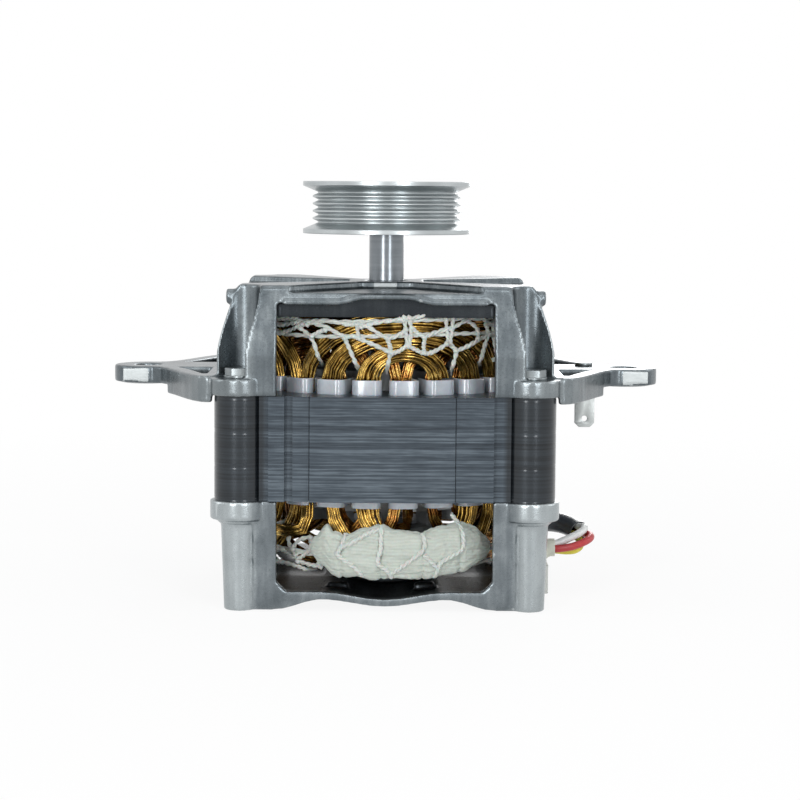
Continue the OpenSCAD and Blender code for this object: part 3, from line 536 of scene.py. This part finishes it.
def smoothLine(points, steps):
    # a smooth curve through the points
    line = []
    for i in range(len(points) - 1):
        a = points[max(i - 1, 0)]
        b, c = points[i], points[i + 1]
        d = points[min(i + 2, len(points) - 1)]
        for k in range(steps):
            t = k / steps
            line.append(tuple(
                0.5 * (2 * b[n] + (c[n] - a[n]) * t + (2 * a[n] - 5 * b[n] + 4 * c[n] - d[n]) * t * t
                       + (3 * b[n] - a[n] - 3 * c[n] + d[n]) * t ** 3) for n in range(3)))
    line.append(tuple(points[-1]))
    return line


def strands(name, lines, diameter, sides=6, shapes=None, capped=True):
    # round wires or cords along lines in millimetres, as one mesh
    data = bpy.data.curves.new(name, "CURVE")
    data.dimensions = "3D"
    data.bevel_depth = diameter * mm / 2
    data.bevel_resolution = sides // 2 - 2
    data.use_fill_caps = capped
    for n, line in enumerate(lines):
        spline = data.splines.new("POLY")
        spline.points.add(len(line) - 1)
        for k, point in enumerate(line):
            spline.points[k].co = (point[0] * mm, point[1] * mm, point[2] * mm, 1)
            spline.points[k].radius = shapes[n][k] if shapes else 1
        spline.use_smooth = True
    piece = bpy.data.objects.new(name, data)
    bpy.context.collection.objects.link(piece)
    pickOnly(piece)
    bpy.ops.object.convert(target="MESH")
    return bpy.context.object


# cords: the leads are short stretches held at both ends

leadSet = {
    # millimetres, with x counted from the right flat of the stack
    "flat": 51.75,
    "sleeve": [(-6.25, -2, 20.8), (-2.25, -2.2, 21.2), (1.75, -2.8, 21.3), (5.25, -4.4, 21),
               (8.35, -7.2, 20.2), (10.25, -10.8, 19.4)],
    "white": [(10.45, -11.9, 21), (11.45, -14.6, 21.3), (11.05, -17.4, 20.9), (9.05, -19.8, 19.9),
              (6.05, -21.4, 18.7), (2.35, -22.3, 17.25)],
    "red": [(11.55, -11.1, 19), (13.25, -14.2, 18.8), (13.15, -18, 18.4), (10.85, -21.2, 17.5),
            (6.85, -23.3, 16.4), (2.35, -24, 15.85)],
    "yellow": [(9.35, -11.9, 18), (10.25, -14.8, 16.8), (9.85, -17.8, 15.6), (8.05, -20.2, 14.9),
               (5.65, -21.3, 14.8), (2.35, -22, 15.15)],
    "collar": [(1.55, -22.8, 16.1), (-0.25, -22.8, 16), (-2.05, -22.8, 15.2), (-3.35, -22.8, 13.8),
               (-3.85, -22.8, 12.6), (-3.95, -22.8, 11.9)],
    "inSleeve": (-1.5, 3.4, 0.4),   # from a lead's first point back into the mouth of the sleeve
    "gather": 0.35,                 # how far apart the leads still are inside the collar
    "leadWidth": 2.4, "sleeveWidth": 6.4, "collarWidth": 5.6, "wall": 0.36,
}


def tube(name, line, diameter, wall):
    # an open ended sleeve
    piece = strands(name, [line], diameter, 24, capped=False)
    hollow = piece.modifiers.new("wall", "SOLIDIFY")
    hollow.thickness = wall * mm
    hollow.offset = -1
    applyModifiers(piece)
    fixNormals(piece)
    return piece


def makeLeads(s):
    def route(key):
        return [(x + s["flat"], y, z) for x, y, z in s[key]]

    mouth, inner = route("collar")[:2]
    for key in ("white", "red", "yellow"):
        line = route(key)
        first = tuple(a + b for a, b in zip(line[0], s["inSleeve"]))
        last = tuple(c + s["gather"] * (p - m) for p, m, c in zip(line[-1], mouth, inner))
        piece = strands(key + "Lead", [smoothLine([first, *line, last], 5)], s["leadWidth"], 16)
        dress(piece, key + "Insulation", "stator", key + "_insulation", key + "_lead")
    piece = tube("leadSleeve", smoothLine(route("sleeve"), 6), s["sleeveWidth"], s["wall"])
    dress(piece, "blackSleeving", "stator", "black_sleeving", "lead_sleeve")
    piece = tube("connectorSleeve", smoothLine(route("collar"), 6), s["collarWidth"], s["wall"])
    dress(piece, "creamSleeving", "stator", "cream_sleeving", "connector_sleeve")


addCamera(cameraSet)
addLights(lightSet, lightAim)
makeLeads(leadSet)
print("camera, lights and leads placed")


# castings

castSet = {
    "voxel": 0.42, "rounds": 10, "keep": 0.32, "smooth": 60,
    # cut faces where the ears' gates were trimmed
    "gateX": 75, "gateY": 10.9, "gateZ": (66, 72), "gateFlat": 0.8,
    # small lugs inside the foot of the bottom bell
    "lugX": ((-17.6, -10.8), (9, 15.8)), "lugY": (-38.5, -35), "lugZ": (4, 7.4), "lugBevel": 1.2,
    # rounded lip along the top edge of each upper window: x and height, with its depth and width
    "lip": [(-30.8, 93.5), (-14.6, 93.5), (-12.8, 93.8), (-8.2, 95.0), (-6.6, 95.25),
            (6.6, 95.25), (8.2, 95.0), (12.8, 93.8), (14.6, 93.5), (30.8, 93.5)],
    "lipY": -46.7, "lipWidth": 1.7,
}


def block(name, low, high, bevel):
    # a bevelled block between two corners in millimetres, for small cast forms
    middle = [(a + b) / 2 * mm for a, b in zip(low, high)]
    bpy.ops.mesh.primitive_cube_add(size=1, location=middle)
    piece = bpy.context.object
    piece.name = name
    piece.scale = [(b - a) * mm for a, b in zip(low, high)]
    settle(piece)
    edges = piece.modifiers.new("edges", "BEVEL")
    edges.width = bevel * mm
    edges.segments = 3
    applyModifiers(piece)
    return piece


def makeLips(s):
    lips = []
    for turn in range(4):
        lip = strands("lip", [[(x, s["lipY"], z) for x, z in s["lip"]]], s["lipWidth"], 12)
        lip.rotation_euler.z = pi / 2 * turn
        settle(lip)
        lips.append(lip)
    return lips


def makeLugs(s):
    lugs = []
    (y0, y1), (z0, z1) = s["lugY"], s["lugZ"]
    for turn in range(4):
        for x0, x1 in s["lugX"]:
            lug = block("lug", (x0, y0, z0), (x1, y1, z1), s["lugBevel"])
            lug.rotation_euler.z = pi / 2 * turn
            settle(lug)
            lugs.append(lug)
    return lugs


def castPiece(node, name, extras, finish, s):
    # one cast skin over the node and the small forms on it, with every edge rounded
    piece = join(copyOf(node, name), extras)
    skin = piece.modifiers.new("skin", "REMESH")
    skin.mode = "VOXEL"
    skin.voxel_size = s["voxel"] * mm
    soft = piece.modifiers.new("soft", "SMOOTH")
    soft.factor = 0.5
    soft.iterations = s["rounds"]
    thin = piece.modifiers.new("thin", "DECIMATE")
    thin.ratio = s["keep"]
    applyModifiers(piece)
    shade(piece, s["smooth"])
    return dress(piece, finish, "stator", "cast_aluminium", node)


def trimGates(piece, s):
    # the bright cut faces at the ends of the ears' sides
    piece.data.materials.append(finishes["cutAluminium"])
    for face in piece.data.polygons:
        c = face.center / mm
        if (abs(c.x) > s["gateX"] and abs(c.y) > s["gateY"] and s["gateZ"][0] < c.z < s["gateZ"][1]
                and abs(face.normal.y) > s["gateFlat"]):
            face.material_index = 1


trimGates(castPiece("top_bell", "topBell", makeLips(castSet), "castAluminium", castSet), castSet)
# the bottom bell gets the copy that is paler from painted light
castPiece("bottom_bell", "bottomBell", makeLugs(castSet), "paintedLightAluminium", castSet)
print("castings made")


# lamination stack

stackSet = {
    "sheets": 49, "groove": 0.07,
    # deeper seams: depth, heights, and how far they run to both sides of the middle
    "seam": 0.22, "seams": (56.3, 48.2, 40.5), "block": 22,
    # the walls of the slots and of the bolt holes stay smooth
    "slotBottom": 46, "bolt": 44, "boltClear": 4,
    "upright": 0.9, "smooth": 30,
}


def makeStack(s):
    piece = copyOf("stator_stack", "laminationStack")
    low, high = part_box("stator_stack")
    rows = 3 * s["sheets"]
    step = (high[2] - low[2]) / rows
    bolt = s["bolt"] * mm

    def onWall(edge):
        a, b = (piece.data.vertices[i].co for i in edge.vertices)
        fromBolt = Vector((abs(a.x) - bolt, abs(a.y) - bolt)).length
        return (abs(a.z - b.z) > s["upright"] * (high[2] - low[2]) and a.xy.length > s["slotBottom"] * mm
                and fromBolt > s["boltClear"] * mm)

    pickParts(piece, "edges", onWall)
    editPicked(bpy.ops.mesh.subdivide, number_cuts=rows - 1)
    seamRows = {3 * round((z * mm - low[2]) / step / 3) for z in s["seams"]}
    everyRow = range(3, rows, 3)
    for rowsWanted, reach, depth in ((everyRow, None, s["groove"]), (seamRows, s["block"], s["seam"])):
        def inRow(v):
            row = (v.co.z - low[2]) / step
            near = reach is None or min(abs(v.co.x), abs(v.co.y)) < reach * mm
            return (abs(row - round(row)) < 0.1 and round(row) in rowsWanted and near
                    and v.co.xy.length > s["slotBottom"] * mm)

        pickParts(piece, "corners", inRow)
        editPicked(bpy.ops.transform.shrink_fatten, value=-depth * mm)
    shade(piece, s["smooth"])
    dress(piece, "laminationSteel", "stator", "lamination_steel", "stator_stack")
    print("stack faces", len(piece.data.polygons))


makeStack(stackSet)


# slot liners: films with rounded cuffs

cuffSet = {"round": 1.9, "rim": 0.3, "outside": 42.5, "near": 0.01, "smooth": 50}


def makeCuffs(s):
    piece = copyOf("slot_liners", "slotLiners")
    low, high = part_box("slot_liners")
    near = s["near"] * mm

    def ends(edge):
        return [piece.data.vertices[i].co for i in edge.vertices]

    def upright(edge):
        a, b = ends(edge)
        return (a - b).xy.length < near and a.xy.length > s["outside"] * mm

    def onRim(edge):
        a, b = ends(edge)
        return abs(a.z - b.z) < near and min(abs(a.z - low[2]), abs(a.z - high[2])) < near

    for wanted, width, segments in ((upright, s["round"], 4), (onRim, s["rim"], 2)):
        pickParts(piece, "edges", wanted)
        editPicked(bpy.ops.mesh.bevel, offset=width * mm, segments=segments, affect="EDGES",
                   clamp_overlap=True)
    bpy.context.tool_settings.mesh_select_mode = (True, False, False)
    shade(piece, s["smooth"])
    dress(piece, "slotFilm", "stator", "slot_film", "slot_liners")


makeCuffs(cuffSet)
print("stack and slot liners made")


# windings

windSet = {
    # radius, angle of the first pole, half width of a pole's coils in degrees, height of the widest coil,
    # radius of the crossing to the next pole, wires in a bundle, its width and depth
    "main": {"r": 42.0, "first": 7.5, "span": (42.36, 30, 15), "reach": 18.2, "linkR": 46.1,
             "wires": 24, "wide": 2.6, "deep": 1.35, "seed": 3},
    "start": {"r": 36.9, "first": 52.5, "span": (42.55, 30, 15), "reach": 17.5, "linkR": 33.2,
              "wires": 15, "wide": 2.0, "deep": 1.1, "seed": 5},
    "wire": 0.8, "drop": 5, "highZ": 70.0, "lowZ": 30.9,
    "shared": 0.75, "alone": 1.35, "crown": 0.9,                # breadth of a bundle, in a slot and on top
    "steps": 12, "lean": 0.6, "square": 2.3, "round": 0.56,     # form of an end turn
    # crossing: angle, share of the way to its radius, height; then how far out of the slot, and breadth
    "crossing": ((15, 0, 0), (16, 1 / 3, -4), (19.5, 1, -7.5), (30, 1, -8.5), (41, 1, -8.5),
                 (49.5, 1, -7), (49.3, 1 / 3, -3.5)),
    "crossingForm": (0.3, 0.6),
    # turn from one wire to the next and per step, and waves with their size and pace
    "golden": 2.39996, "twist": 0.045, "swell": 0.1,
    "sway": (0.25, 0.21), "breath": (0.1, 0.4), "across": (0.18, 0.6), "outward": (0.12, 0.7),
}


def woundLine(w, s):
    # the unbroken centre line of a winding: angle, radius, height, how far out of the slot, width
    line = []

    def arc(a, b, base, height, broad):
        for i in range(s["steps"] + 1):
            f = -cos(pi * i / s["steps"])
            rise = (1 - abs(f) ** s["square"]) ** s["round"]
            line.append((a + (b - a) * (f + 1) / 2, w["r"] + s["lean"] * rise, base + height * rise, rise,
                         broad + (s["crown"] - broad) * rise))

    for pole in range(4):
        c = w["first"] + 90 * pole
        for j, half in enumerate(w["span"]):
            height = w["reach"] - s["drop"] * j
            broad = s["shared"] if j == 0 else s["alone"]      # the widest coils share their slots
            arc(c - half, c + half, s["highZ"], height, broad)
            if j < 2:
                arc(c + half, c - w["span"][j + 1], s["lowZ"], -height, broad)
        if pole < 3:
            for angle, share, z in s["crossing"]:
                radius = w["r"] + share * (w["linkR"] - w["r"])
                line.append((c + angle, radius, s["lowZ"] + z, *s["crossingForm"]))
    return line


def wave(form, i, phase):
    size, pace = form
    return size * sin(pace * i + phase)


def wind(line, w, s):
    # wires spread over the bundle's section, with a slow twist and a little disorder
    dice = random.Random(w["seed"])
    wires = []
    n = len(line)
    centre = [Vector((r * cos(radians(a)), r * sin(radians(a)), z)) for a, r, z, rise, broad in line]
    for k in range(w["wires"]):
        away = sqrt((k + 0.5) / w["wires"])
        turn = s["golden"] * k
        phase = [dice.uniform(0, 2 * pi) for i in range(4)]
        wire = []
        for i, (a, r, z, rise, broad) in enumerate(line):
            along = (centre[min(i + 1, n - 1)] - centre[max(i - 1, 0)]).normalized()
            out = Vector((centre[i].x, centre[i].y, 0)).normalized()
            side = along.cross(out).normalized()
            q = turn + s["twist"] * i + wave(s["sway"], i, phase[0])
            swell = 1 + s["swell"] * rise + wave(s["breath"], i, phase[1])
            u = w["wide"] * away * cos(q) * swell * broad + wave(s["across"], i, phase[2])
            v = w["deep"] * away * sin(q) * swell + wave(s["outward"], i, phase[3])
            wire.append(tuple(centre[i] + side * u + out * v))
        wires.append(wire)
    return wires


def makeWindings(s):
    for kind in ("main", "start"):
        w = s[kind]
        piece = strands(kind + "Winding", wind(woundLine(w, s), w, s), s["wire"], 8)
        dress(piece, kind + "Copper", "stator", "enamelled_wire", kind + "_winding")


makeWindings(windSet)
print("windings made")


# lacing

lacingSet = {
    "ply": 0.86, "apart": 0.33, "twist": 1.15, "steps": 6,      # two twisted strands
    "drum": 45.3, "roam": (0.3, 0.3), "uneven": (0.3, 0.5),     # how it strays and thickens: size, pace
    "knot": [(-0.7, -0.25), (-0.25, 0.15), (0.25, -0.15), (0.7, 0.25)], "knotShape": [0.8, 1.8, 1.8, 0.8],
    "knotOut": 0.3, "meets": 1.3, "posts": 31,
    "dive": (1.2, 3.4, 6.5), "slope": 0.5,                      # a free end's way in between the bundles
    "hoopIn": 0.7, "hoopWave": (0.5, 3), "hoopStep": 2,
}


def onDrum(x, z, r, turn):
    # a point of the front seen at x and z, laid on the drum and turned to another side
    a = asin(max(-1, min(1, x / r))) - pi / 2 + radians(turn)
    return (r * cos(a), r * sin(a), z)


upperNet = [
    [(-31.7, 83.5), (-29, 84.6), (-26.5, 85.9), (-25.4, 86.5)],
    [(-31.7, 88), (-29, 88.3), (-26.6, 87.8), (-24, 86.4)],
    [(-31.7, 86), (-28, 86.7), (-25, 87.2), (-19, 86.2), (-13.6, 83.6), (-11.9, 83.1)],
    [(-26, 85.2), (-22.6, 82.3), (-20.6, 77)],
    [(-22.6, 83), (-20, 84.4), (-18.4, 85)],
    [(-23.5, 87.4), (-18, 87.9), (-11, 86.8), (-9, 87.2), (-5, 86), (0.3, 83), (4.5, 84.2), (6, 85.4)],
    [(-12.4, 82.6), (-11.2, 80), (-9.2, 75.4)],
    [(-8.8, 86.8), (-8.4, 84), (-8.1, 82.7)],
    [(-12, 83), (-10, 83.4), (-8.1, 82.7), (-3.5, 80.8), (1.4, 78.6)],
    [(-7.5, 86.2), (-2, 87.7), (4.3, 88.6)],
    [(0.3, 83), (1.2, 80.6), (1.4, 78.6), (0.7, 75)],
    [(5.5, 89.2), (6, 85), (6.5, 80.5)],
    [(7, 89.2), (7.6, 85), (6.9, 80.5)],
    [(1.8, 78.3), (4, 79), (6.5, 80.5), (9, 79.4), (12, 78.2), (15, 79), (18.4, 81)],
    [(7.9, 86), (9.5, 84.4), (11.6, 83.1), (11.4, 80.6), (11.6, 78.4)],
    [(11.6, 83.1), (15, 84.6), (20.4, 86), (24.5, 87.9), (27.9, 85.2), (28.2, 82.4)],
    [(5, 88.3), (10, 89.4), (15.5, 89.9), (21, 89.8), (27.7, 89.4), (31.7, 86.8)],
    [(18.1, 88.9), (18.5, 85), (19, 81.1)],
    [(20.3, 88.9), (20, 85), (19.4, 81.1)],
    [(19, 81.1), (21.3, 78.8), (20.4, 74.4)],
    [(21.3, 78.8), (25, 80.2), (28.4, 82), (31.7, 83.5)],
    [(30.8, 86.6), (31.2, 83.6), (30, 79), (29.2, 76)],
]
lowerNet = [
    [(-31.7, 16.5), (-29.2, 15.2), (-26.6, 14.3), (-24.2, 16), (-22.6, 17.6), (-22.2, 20.2)],
    [(-28.4, 17), (-26.2, 20.1), (-22.6, 21.3)],
    [(-31.7, 12.5), (-27.5, 12), (-24.4, 11.2)],
    [(-26.6, 13.4), (-23, 12.8), (-19.5, 12.5)],
    [(-27.4, 15.4), (-29.6, 19), (-28.6, 23)],
    [(-20, 13.4), (-8, 12.4), (4, 12.6), (16, 12.2), (31.7, 13.4)],
    [(-20, 18.6), (-8, 17.8), (4, 18.4), (16, 17.6), (31.7, 17.6)],
]


def plies(line, s):
    # the two twisted strands of a cord
    pair = []
    for half in (0, pi):
        strand = []
        for i, point in enumerate(line):
            along = Vector(line[min(i + 1, len(line) - 1)]) - Vector(line[max(i - 1, 0)])
            out = Vector((point[0], point[1], 0)).normalized()
            side = along.cross(out).normalized()
            turn = s["twist"] * i + half
            strand.append(tuple(Vector(point) + s["apart"] * (side * cos(turn) + out * sin(turn))))
        pair.append(strand)
    return pair


def makeNet(name, net, s, node):
    lines, shapes = [], []
    flats = [smoothLine([(x, z, 0) for x, z in path], s["steps"]) for path in net]
    stray, pace = s["roam"]
    change, changePace = s["uneven"]
    for turn in (0, 90, 180, 270):
        flip = -1 if turn in (90, 270) else 1
        for path, flat in zip(net, flats):
            line = []
            for x, z, unused in flat:
                off = stray * noise.noise(Vector((x * pace, z * pace, turn)))
                line.append(onDrum(flip * x, z, s["drum"] + off, turn))
            others = [Vector(p) for other in flats if other is not flat for p in other]
            for end, inner in ((0, 1), (-1, -2)):
                x, z = path[end]
                tip = Vector((x, z, 0))
                if abs(x) > s["posts"] or min((tip - p).length for p in others) < s["meets"]:
                    lines.append([onDrum(flip * x + dx, z + dz, s["drum"] + s["knotOut"], turn)
                                  for dx, dz in s["knot"]])
                    shapes.append(s["knotShape"])
                else:
                    step = (tip - Vector((*path[inner], 0))).normalized() * s["slope"]
                    tail = [onDrum(flip * (x + step.x * d), z + step.y * d, s["drum"] - d, turn)
                            for d in s["dive"]]
                    line = tail[::-1] + line if end == 0 else line + tail
            for strand in plies(line, s):
                lines.append(strand)
                shapes.append([1 + change * noise.noise(Vector(p) * changePace) for p in strand])
    # a hoop behind the posts joins the net of one side to the next
    rise, waves = s["hoopWave"]
    for level in (net[0][0][1], net[1][0][1]):
        hoop = [onDrum(0, level + rise * sin(radians(a * waves)), s["drum"] - s["hoopIn"], a)
                for a in range(0, 361, s["hoopStep"])]
        for strand in plies(hoop, s):
            lines.append(strand)
            shapes.append([1] * len(strand))
    piece = strands(name, lines, s["ply"], 8, shapes)
    return dress(piece, "lacingCord", "stator", "lacing_cord", node)


makeNet("upperLacing", upperNet, lacingSet, "upper_lacing")
makeNet("lowerLacing", lowerNet, lacingSet, "lower_lacing")
print("lacing made")


# cloth sleeve

sleeveSet = {
    # edges of the cloth seen from the front, in millimetres
    "top": [(-22.4, 22), (-21.2, 24.6), (-17.4, 27.8), (-15.4, 24.4), (-12, 22.9), (-6.5, 25.2),
            (-1.2, 26.5), (3.2, 24.9), (11.2, 24), (17.4, 25.8), (22.8, 26.7), (27.1, 26.3),
            (30.7, 24.2), (32.4, 21.5)],
    "low": [(-22.4, 14.4), (-19.8, 12), (-15.4, 10.2), (-8.3, 10.9), (-3.9, 9.8), (1.4, 10.5),
            (7.7, 10.1), (13, 10.2), (18.3, 10.9), (24, 11.3), (30.7, 12.4), (32.4, 15)],
    "middleR": 47.9, "deep": 2.6, "thinnest": 0.3, "rings": 240, "sides": 108, "smooth": 80,
    "close": 6, "closeEnd": 0.25,                           # how fast the ends draw in, and to what share
    # crinkles: size, how fine they are round the sleeve and along it
    "folds": (0.55, 3.1, 0.07), "fine": (0.3, 7, 0.16), "crinkle": (0.22, 5, 0.9),
    # at a tie: size, how fine the gathers are, and how far they and the pinch reach
    "gather": (0.35, 9, 4.5), "pinch": (0.85, 1.5), "slack": 0.3, "moveUp": 0.8, "moveOut": 0.75,
    "ties": (-12.6, -1.1, 11.3, 22.4),
    "cords": [
        [(-11.6, 23.6), (-12.6, 19.3), (-13.4, 17.5), (-10.4, 15.1), (-7.4, 12.4), (-6.6, 10.9)],
        [(-0.8, 26.3), (-1, 22), (-1.1, 19.3), (-1.9, 15.4), (0.4, 13.2), (1.7, 11.6), (1.9, 10.5)],
        [(11.4, 23.8), (11.3, 19.6), (7.7, 16.2), (4.4, 13.6), (1.7, 11.6)],
        [(20.1, 29.4), (22.1, 26.5), (22.7, 22), (22.1, 18.7), (19, 16.8), (16.1, 14.9), (15.6, 13.2),
         (15, 10.4)],
        [(11.4, 17.6), (13.4, 15.4), (15.6, 13.2)],
        [(-13.2, 19.6), (-9.9, 20.9), (-6.4, 23.2), (-3.9, 24.6), (-0.8, 25.4)],
    ],
    "cordOut": (0.1, 0.25), "cordShape": (1.1, 0.3, 0.5),       # cords over the cloth, how uneven they are
}


def edgeAt(edge, x):
    for (x0, z0), (x1, z1) in zip(edge, edge[1:]):
        if x <= x1:
            t = max(0, (x - x0) / (x1 - x0))
            return z0 + (z1 - z0) * (3 * t * t - 2 * t ** 3)
    return edge[-1][1]


def ridged(x, y, z):
    return 1 - 2 * abs(noise.noise(Vector((x, y, z))))


def nearTies(s, x, reach):
    return sum(max(0, 1 - abs(x - tie) / reach) ** 2 for tie in s["ties"])


def crinkled(s, x, q):
    # how far the cloth stands out at a place along the sleeve and an angle round it; the bare numbers
    # only keep the patterns apart
    (folds, a, alongA), (fine, b, alongB), (crinkle, c, alongC) = s["folds"], s["fine"], s["crinkle"]
    (gather, d, gatherReach), (pinch, pinchReach) = s["gather"], s["pinch"]
    return (folds * ridged(a * cos(q), a * sin(q) + 40, x * alongA)
            + fine * ridged(b * cos(q), b * sin(q), x * alongB + 9)
            + crinkle * noise.noise(Vector((x * alongC, c * cos(q), c * sin(q) + 3)))
            + nearTies(s, x, gatherReach) * gather * ridged(d * cos(q), d * sin(q), 2.0)
            - pinch * nearTies(s, x, pinchReach) - s["slack"])


def makeSleeve(s):
    # a crinkled bag of woven glass: gathered at its ties, with its folds along its length
    left, right = s["top"][0][0], s["top"][-1][0]
    verts, faces = [], []
    n, m = s["rings"], s["sides"]
    for i in range(n):
        t = i / (n - 1)
        x = left + (right - left) * t
        top, low = edgeAt(s["top"], x), edgeAt(s["low"], x)
        close = min(1, s["close"] * min(t, 1 - t)) ** 0.5
        for k in range(m):
            q = 2 * pi * k / m
            move = crinkled(s, x, q)
            half = (top - low) / 2 * (s["closeEnd"] + (1 - s["closeEnd"]) * close) + move * s["moveUp"]
            deep = s["deep"] * close + move * s["moveOut"]
            r = s["middleR"] + max(deep, s["thinnest"]) * cos(q)
            a = asin(x / s["middleR"]) - pi / 2
            verts.append((r * cos(a) * mm, r * sin(a) * mm, ((top + low) / 2 + half * sin(q)) * mm))
    for i in range(n - 1):
        for k in range(m):
            a, b = i * m + k, i * m + (k + 1) % m
            faces.append((a, b, b + m, a + m))
    faces.append(tuple(range(m - 1, -1, -1)))
    faces.append(tuple(range((n - 1) * m, n * m)))
    piece = meshPiece("windingSleeve", verts, [], faces)
    fixNormals(piece)
    shade(piece, s["smooth"])
    dress(piece, "glassCloth", "stator", "glass_cloth", "winding_sleeve")


def makeTies(s, cord):
    # lacing cords drawn round the cloth sleeve
    lines, shapes = [], []
    fuller, out = s["cordOut"]
    thick, change, pace = s["cordShape"]
    for path in s["cords"]:
        line = []
        for x, z, unused in smoothLine([(x, z, 0) for x, z in path], cord["steps"]):
            top, low = edgeAt(s["top"], x), edgeAt(s["low"], x)
            v = max(-1, min(1, (2 * z - top - low) / (top - low)))
            r = s["middleR"] + (s["deep"] + fuller) * sqrt(1 - v * v) + out
            line.append(onDrum(x * r / s["middleR"], z, r, 0))
        for strand in plies(line, cord):
            lines.append(strand)
            shapes.append([thick + change * noise.noise(Vector((p[0] * pace, p[2] * pace, 1.5)))
                           for p in strand])
    piece = strands("sleeveTies", lines, cord["ply"], 8, shapes)
    dress(piece, "lacingCord", "stator", "lacing_cord")


makeSleeve(sleeveSet)
makeTies(sleeveSet, lacingSet)
print("cloth sleeve made")


# pulley: its profile turned round the shaft axis, with the corners broken

pulleySet = {"steps": 180, "edge": 0.12, "share": 0.3, "bend": 12, "near": 0.001, "smooth": 30}


def profileOf(data, near):
    # the outline of a turned mesh, walked round along its seam in the xz plane, in millimetres
    def spotOf(p):
        return (round(p.x / mm, 3), round(p.z / mm, 3)) if abs(p.y) < near * mm and p.x > 0 else None

    spots = [spotOf(v.co) for v in data.vertices]
    beside = {}
    for edge in data.edges:
        a, b = (spots[i] for i in edge.vertices)
        if a and b and a != b:
            beside.setdefault(a, set()).add(b)
            beside.setdefault(b, set()).add(a)
    profile = [min(beside)]
    spot = max(beside[profile[0]])
    while spot != profile[0]:
        onward = [p for p in beside[spot] if p != profile[-1]]
        profile.append(spot)
        spot = onward[0]
    return profile


def makePulley(s):
    profile = profileOf(nodes["pulley"].data, s["near"])
    line = []
    for i, spot in enumerate(profile):
        here = Vector(spot)
        back, onward = (Vector(profile[k % len(profile)]) - here for k in (i - 1, i + 1))
        if back.angle(-onward) < radians(s["bend"]):
            line.append(here)
        else:
            for way in (back, onward):
                line.append(here + way.normalized() * min(s["edge"], s["share"] * way.length))
    count = len(line)
    piece = meshPiece("pulleyBody", [(p.x * mm, 0, p.y * mm) for p in line],
                      [(i, (i + 1) % count) for i in range(count)], [])
    turned = piece.modifiers.new("turned", "SCREW")
    turned.steps = turned.render_steps = s["steps"]
    turned.use_merge_vertices = True
    applyModifiers(piece)
    fixNormals(piece)
    shade(piece, s["smooth"])
    dress(piece, "turnedPulley", "rotor", "turned_pulley", "pulley")
    print("pulley profile points", count, "faces", len(piece.data.polygons))


makePulley(pulleySet)


# bought and moulded pieces: the node's own form with its edges broken

softSet = {
    # node: piece, edge in millimetres, finish, slot
    "through_bolts": ("throughBolts", 0.3, "zincSteel", "zinc_steel"),
    "ground_tab": ("groundTab", 0.15, "tinnedTab", "tinned_tab"),
    "ground_rivet": ("groundRivet", 0.3, "zincSteel", "zinc_steel"),
    "connector_housing": ("connectorHousing", 0.3, "connectorNylon", "connector_nylon"),
}
for node, (name, width, finish, slotName) in softSet.items():
    dress(softCopy(node, name, width), finish, "stator", slotName, node)
print("soft edged pieces made")


# CAD nodes that stay as they are, each with its finish

nodeFinish = {
    "shaft": "shaftSteel", "rotor_core": "laminationSteel", "rotor_cage": "cageAluminium",
    "oil_slingers": "springSteel", "thrust_washers": "fibreWasher",
    "slot_wedges": "wedgeBoard", "thermal_protector": "blackPlastic",
    "upper_bearing": "sinteredBronze", "lower_bearing": "sinteredBronze", "upper_felt": "oilFelt",
    "lower_felt": "oilFelt", "upper_bearing_clip": "springSteel", "lower_bearing_clip": "springSteel",
    "upper_bearing_cap": "zincSteel", "lower_bearing_cap": "zincSteel", "end_plug": "zincSteel",
    "connector_terminals": "tinnedTab",
}
for node, finish in nodeFinish.items():
    for slot in nodes[node].material_slots:
        slot.link = "OBJECT"
        slot.material = finishes[finish]
print("nodes finished:", len(nodeFinish))


# floor and white surroundings

stageSet = {
    "size": 6, "below": 0.0002,                 # metres
    "fade": (0.1, 0.5), "glow": (0.9, 1.0),     # where and how far the floor's shadow fades to white
    "floor": (0.95, 0.95, 0.95, 1), "white": (1, 1, 1, 1),
    "world": (0.8, 0.82, 0.84, 1), "worldLight": 0.38,
}


def addStage(s):
    bpy.ops.mesh.primitive_plane_add(size=s["size"], location=(0, 0, cadBox[0].z - s["below"]))
    floor = bpy.context.object
    floor.name = "floor"
    settle(floor)
    material, f = newFinish("paleFloor")
    x, y = f.axes()[:2]
    away = f.maths("SQRT", x * x + y * y)
    fade = f.add("MapRange", {}, {"Value": away, "From Min": s["fade"][0], "From Max": s["fade"][1],
                                  "To Min": s["glow"][0], "To Max": s["glow"][1]})
    lit = f.add("BsdfDiffuse", {}, {"Color": s["floor"]})
    glow = f.add("Emission", {}, {"Color": s["white"], "Strength": 1.0})
    both = f.add("MixShader", {}, {0: f.shown() * fade, 1: lit, 2: glow})
    f.add("OutputMaterial", {}, {"Surface": both})
    floor.data.materials.append(material)
    world = bpy.data.worlds.new("studio")
    bpy.context.scene.world = world
    f = Finish(world)
    soft = f.add("Background", {}, {"Color": s["world"], "Strength": s["worldLight"]})
    white = f.add("Background", {}, {"Color": s["white"], "Strength": 1.0})
    both = f.add("MixShader", {}, {0: f.shown(), 1: soft, 2: white})
    f.add("OutputWorld", {}, {"Surface": both})


addStage(stageSet)
bpy.context.scene.view_settings.view_transform = "Standard"
print("stage set")
